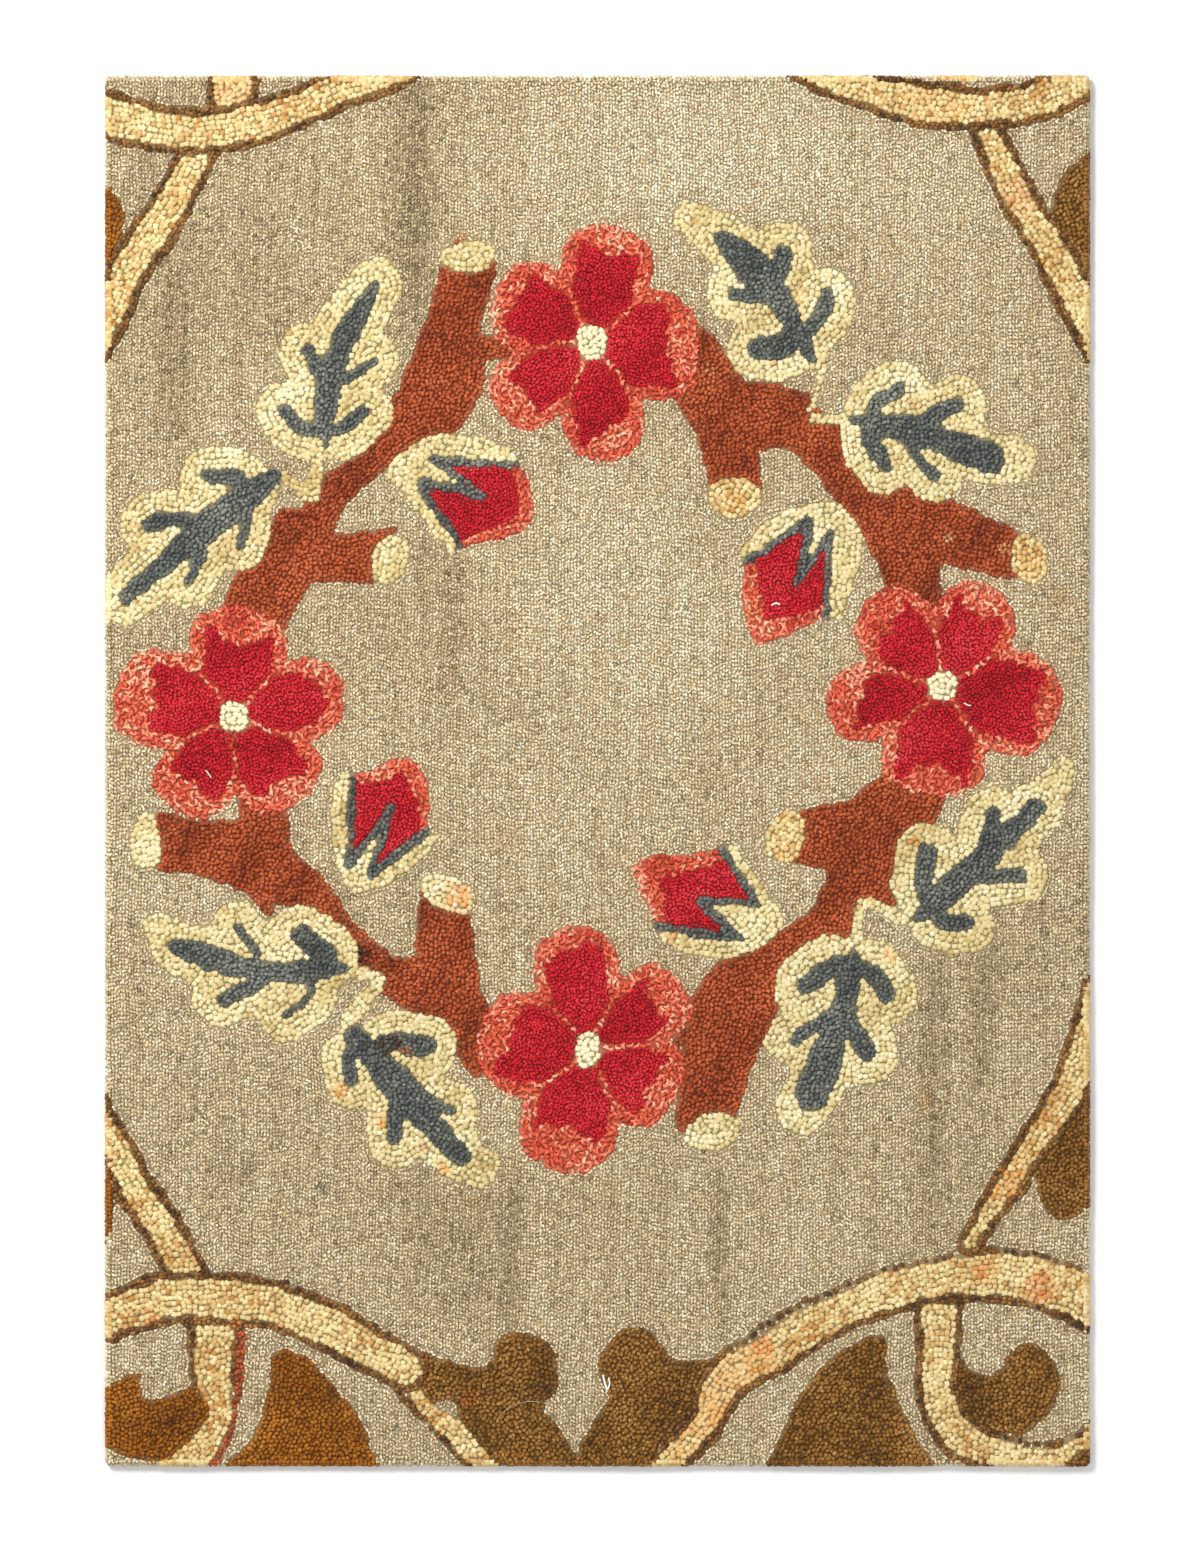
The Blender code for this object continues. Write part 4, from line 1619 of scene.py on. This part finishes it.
def strip_back_material(name, *cloth):
    """Backs of wool strips: short flat stitches in lengthways rows."""
    material = wool_material(name, *cloth)
    tree = material.node_tree
    place = node_of(tree, "ShaderNodeTexCoord")
    turned_place = node_of(
        tree, "ShaderNodeMapping", {"Rotation": (0, 0, math.pi / 2)}, {"Vector": place.outputs["Object"]})
    stitches = node_of(
        tree, "ShaderNodeTexBrick",
        {"Scale": 1 / MM, "Brick Width": 3.1, "Row Height": 2.4, "Mortar Size": 0.45, "Mortar Smooth": 1.0},
        {"Vector": turned_place.outputs["Vector"]})
    bump = node_of(
        tree, "ShaderNodeBump", {"Strength": 0.9, "Distance": 0.6 * MM, "invert": True},
        {"Height": stitches.outputs["Fac"], "Normal": tree.nodes["Bump"].outputs["Normal"]})
    tree.links.new(bump.outputs["Normal"], tree.nodes["Principled BSDF"].inputs["Normal"])
    return material


def burlap_material():
    """Unbleached jute burlap: a plain weave of coarse, uneven threads."""
    material, tree, shader = new_material(
        "unbleached_burlap", {"Roughness": 0.95, "Specular IOR Level": 0.1})
    place = node_of(tree, "ShaderNodeTexCoord")
    waves = [
        node_of(
            tree, "ShaderNodeTexWave",
            {"bands_direction": direction, "Scale": 0.31 / (cloth_size("thread") * MM), "Distortion": 0.4},
            {"Vector": place.outputs["Object"]})
        for direction in ("X", "Y")
    ]
    weave = node_of(
        tree, "ShaderNodeMath", {"operation": "MAXIMUM"},
        {0: waves[0].outputs["Fac"], 1: waves[1].outputs["Fac"]})
    ramp = node_of(tree, "ShaderNodeValToRGB", links={"Fac": weave.outputs["Value"]})
    ramp.color_ramp.elements[0].color = cloth_colour("jute_dark")
    ramp.color_ramp.elements[1].color = cloth_colour("jute_light")
    bump = node_of(
        tree, "ShaderNodeBump", {"Strength": 0.8, "Distance": 0.4 * MM}, {"Height": weave.outputs["Value"]})
    tree.links.new(ramp.outputs["Color"], shader.inputs["Base Color"])
    tree.links.new(bump.outputs["Normal"], shader.inputs["Normal"])
    return material


def edge_ring(mesh, inset, height):
    """A ring of points round the rug, at an inset from its edge, with rounded corners."""
    radius = max(CORNER_RADIUS - inset, LEAST_RADIUS)
    ring = []
    for quarter, (right, up) in enumerate(CORNERS):
        for step in range(CORNER_STEPS + 1):
            angle = math.pi / 2 * (quarter + step / CORNER_STEPS)
            ring.append(mesh.verts.new((
                (right * (HALF_WIDTH - inset - radius) + radius * math.cos(angle)) * MM,
                (up * (HALF_LENGTH - inset - radius) + radius * math.sin(angle)) * MM,
                height * MM,
            )))
    return ring


def join_rings(mesh, rings):
    """Skins a row of rings of points, closes both its ends and turns the faces outward."""
    for first, second in zip(rings, rings[1:]):
        for here in range(len(first)):
            there = (here + 1) % len(first)
            mesh.faces.new((first[here], first[there], second[there], second[here]))
    mesh.faces.new(rings[0])
    mesh.faces.new(list(reversed(rings[-1])))
    bmesh.ops.recalc_face_normals(mesh, faces=mesh.faces)


def lay_foundation():
    """Burlap with its edges turned under, which replaces the frame's solid."""
    hem = cloth_size("hem_width")
    raw_edge = ((hem + inset, height) for inset, height in RAW_EDGE)
    mesh = bmesh.new()
    fold = (*FOLD_OUTSIDE, *raw_edge, *FOLD_INSIDE)
    join_rings(mesh, [edge_ring(mesh, inset, height) for inset, height in fold])
    data = mesh_data(mesh, "foundation", smooth=False)
    data.materials.append(burlap_material())
    carried = list(rug_pieces().objects)
    piece = add_piece("foundation", data)
    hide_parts(NODE)
    return piece


def whip_hem():
    """Slanting stitches that hold the hem's raw edge to the backs of the strips."""
    reach = np.array((HALF_WIDTH, HALF_LENGTH)) - cloth_size("hem_width")
    rows = []
    for axis, sign in ((0, 1), (0, -1), (1, 1), (1, -1)):
        stops = np.arange(-reach[1 - axis] + WHIP_START, reach[1 - axis] - WHIP_START, WHIP_PITCH)
        side = np.full_like(stops, sign * reach[axis])
        places = (side, stops) if axis == 0 else (stops, side)
        slant = WHIP_SLANT + axis * math.pi / 2
        rows.append(np.stack((*places, np.full_like(stops, slant)), axis=1))
    rows = np.vstack(rows)
    chance = np.random.default_rng(SEED)
    along = pointing(rows[:, 2] + chance.normal(0, WHIP_UNEVEN, len(rows)))
    frames = axes_of(along, np.tile((0.0, 0.0, -1.0), (len(rows), 1)))
    places = np.column_stack((rows[:, :2], np.full(len(rows), WHIP_HEIGHT)))
    mesh, _ = join_copies("whip_stitches", "pillow", np.tile(WHIP_SIZE, (len(rows), 1)), frames, places)
    thread = {"Base Color": cloth_colour("linen"), "Roughness": 0.8}
    mesh.materials.append(new_material("linen_thread", thread)[0])
    piece = add_piece("whip_stitches", mesh)
    return piece


def pull_loose_end(end):
    """A short end of strip or a thread lying on the crowns."""
    route = smooth_route(end.points, steps=5)
    heights = pile_heights(route[:, 0], route[:, 1]) + END_LIFT * end.thickness
    centres = np.column_stack((route, heights))
    mesh = bmesh.new()
    rings = []
    for index, centre in enumerate(centres):
        ahead = centres[min(index + 1, len(centres) - 1)] - centres[max(index - 1, 0)]
        side = np.array((-ahead[1], ahead[0], 0)) / np.hypot(ahead[0], ahead[1])
        ring = []
        for turn in np.arange(END_SIDES) * 2 * math.pi / END_SIDES:
            offset = end.thickness / 2 * (math.cos(turn) * side + math.sin(turn) * np.array((0, 0, 1)))
            ring.append(mesh.verts.new((centre + offset) * MM))
        rings.append(ring)
    join_rings(mesh, rings)
    data = mesh_data(mesh, end.name)
    colour_points(data, np.tile(linear(end.colour), (len(data.vertices), 1)))
    data.materials.append(kept_material("loose_end", wool_material, *CLOTHS["loose end"]))
    piece = add_piece(end.name, data)
    return piece


def put(name, data, place=(0, 0, 0)):
    """Puts something in the scene that isn't a piece of the rug."""
    thing = bpy.data.objects.new(name, data)
    thing.location = place
    bpy.context.scene.collection.objects.link(thing)
    return thing


def set_stage():
    """White floor and soft light from the top left."""
    mesh = bmesh.new()
    bmesh.ops.create_grid(mesh, x_segments=1, y_segments=1, size=FLOOR_SIZE)
    data = mesh_data(mesh, "floor", smooth=False)
    white = {"Base Color": cloth_colour("floor"), "Roughness": 0.9}
    data.materials.append(new_material("white_floor", white)[0])
    floor = put("floor", data)
    for name, place, size, power in LAMPS:
        lamp = bpy.data.lights.new(name, "AREA")
        lamp.shape = "DISK"
        lamp.size = size
        lamp.energy = power
        holder = put(name, lamp, place)
        holder.rotation_euler = (-Vector(place)).to_track_quat("-Z", "Y").to_euler()
    scene = bpy.context.scene
    scene.world = bpy.data.worlds.new("soft_room")
    scene.world.use_nodes = True
    background = scene.world.node_tree.nodes["Background"]
    background.inputs["Color"].default_value = (1, 1, 1, 1)
    background.inputs["Strength"].default_value = WORLD_STRENGTH
    scene.view_settings.view_transform = "Standard"


def set_camera():
    """A long lens straight above, so that the rug keeps its straight edges."""
    data = bpy.data.cameras.new("camera")
    data.lens = LENS
    data.sensor_fit = "VERTICAL"
    data.sensor_height = SENSOR
    right, up = (offset * PIXEL * MM for offset in FRAME_MIDDLE)
    seen = FRAME_PIXELS[1] * PIXEL * MM
    bpy.context.scene.camera = put("camera", data, (right, up, RUG_HIGH.z + LENS * seen / SENSOR))


class RUG_OT_set_out(bpy.types.Operator):
    """Chart the pattern and set out every row of loops"""

    bl_idname = "rug.set_out"
    bl_label = "Set out rows"

    def execute(self, context):
        pattern.cache_clear()
        hooking.cache_clear()
        hooking()
        return {"FINISHED"}


class RUG_OT_hook_ground(bpy.types.Operator):
    """Hook the heathered ground"""

    bl_idname = "rug.hook_ground"
    bl_label = "Hook ground"

    def execute(self, context):
        hook_ground()
        return {"FINISHED"}


class RUG_OT_hook_pattern(bpy.types.Operator):
    """Hook the flowers, leaves, branches and scrolls, wool by wool"""

    bl_idname = "rug.hook_pattern"
    bl_label = "Hook pattern"

    def execute(self, context):
        for name in WOOL_NAMES[1:]:
            hook_wool(name)
        return {"FINISHED"}


class RUG_OT_pack_pile(bpy.types.Operator):
    """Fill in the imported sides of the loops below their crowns"""

    bl_idname = "rug.pack_pile"
    bl_label = "Pack pile"

    def execute(self, context):
        pack_pile()
        return {"FINISHED"}


class RUG_OT_lay_backs(bpy.types.Operator):
    """Lay the flat backs of the strips on the underside"""

    bl_idname = "rug.lay_backs"
    bl_label = "Lay strip backs"

    def execute(self, context):
        lay_backs()
        return {"FINISHED"}


class RUG_OT_whip_hem(bpy.types.Operator):
    """Whip the hem to the backs of the strips"""

    bl_idname = "rug.whip_hem"
    bl_label = "Whip hem"

    def execute(self, context):
        whip_hem()
        return {"FINISHED"}


class RUG_OT_pull_loose_ends(bpy.types.Operator):
    """Pull a few worn ends of strip out onto the pile"""

    bl_idname = "rug.pull_loose_ends"
    bl_label = "Pull loose ends"

    def execute(self, context):
        for end in LOOSE_ENDS:
            pull_loose_end(end)
        return {"FINISHED"}


class RUG_OT_lay_foundation(bpy.types.Operator):
    """Lay the burlap foundation with its hem, under all the other pieces"""

    bl_idname = "rug.lay_foundation"
    bl_label = "Lay foundation"

    def execute(self, context):
        lay_foundation()
        return {"FINISHED"}


class RUG_OT_set_stage(bpy.types.Operator):
    """Set the floor, the lamps and the camera"""

    bl_idname = "rug.set_stage"
    bl_label = "Set stage"

    def execute(self, context):
        set_stage()
        set_camera()
        return {"FINISHED"}


STEPS = (
    RUG_OT_set_out, RUG_OT_hook_ground, RUG_OT_hook_pattern, RUG_OT_pack_pile, RUG_OT_lay_backs,
    RUG_OT_whip_hem, RUG_OT_pull_loose_ends, RUG_OT_lay_foundation, RUG_OT_set_stage,
)


class RUG_PT_panel(bpy.types.Panel):
    """The steps of the work, with the rug's sizes and colours"""

    bl_idname = "RUG_PT_panel"
    bl_label = "Hooked rug"
    bl_space_type = "VIEW_3D"
    bl_region_type = "UI"
    bl_category = "Rug"

    def draw(self, context):
        for step in STEPS:
            self.layout.operator(step.bl_idname)
        scene = context.scene
        for kind, group in ((RUG_PG_cloth, scene.rug_cloth), (RUG_PG_wools, scene.rug_wools)):
            box = self.layout.box()
            for name in kind.__annotations__:
                box.prop(group, name)


CLASSES = (RUG_PG_wools, RUG_PG_cloth, *STEPS, RUG_PT_panel)


def register():
    for kind in CLASSES:
        bpy.utils.register_class(kind)
    bpy.types.Scene.rug_wools = bpy.props.PointerProperty(type=RUG_PG_wools)
    bpy.types.Scene.rug_cloth = bpy.props.PointerProperty(type=RUG_PG_cloth)


def unregister():
    del bpy.types.Scene.rug_cloth
    del bpy.types.Scene.rug_wools
    for kind in reversed(CLASSES):
        bpy.utils.unregister_class(kind)


def main():
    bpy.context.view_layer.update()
    register()
    bpy.ops.rug.set_out()
    bpy.ops.rug.hook_ground()
    bpy.ops.rug.hook_pattern()
    bpy.ops.rug.pack_pile()
    bpy.ops.rug.lay_backs()
    bpy.ops.rug.whip_hem()
    bpy.ops.rug.pull_loose_ends()
    bpy.ops.rug.lay_foundation()
    bpy.ops.rug.set_stage()


if __name__ == "__main__":
    main()
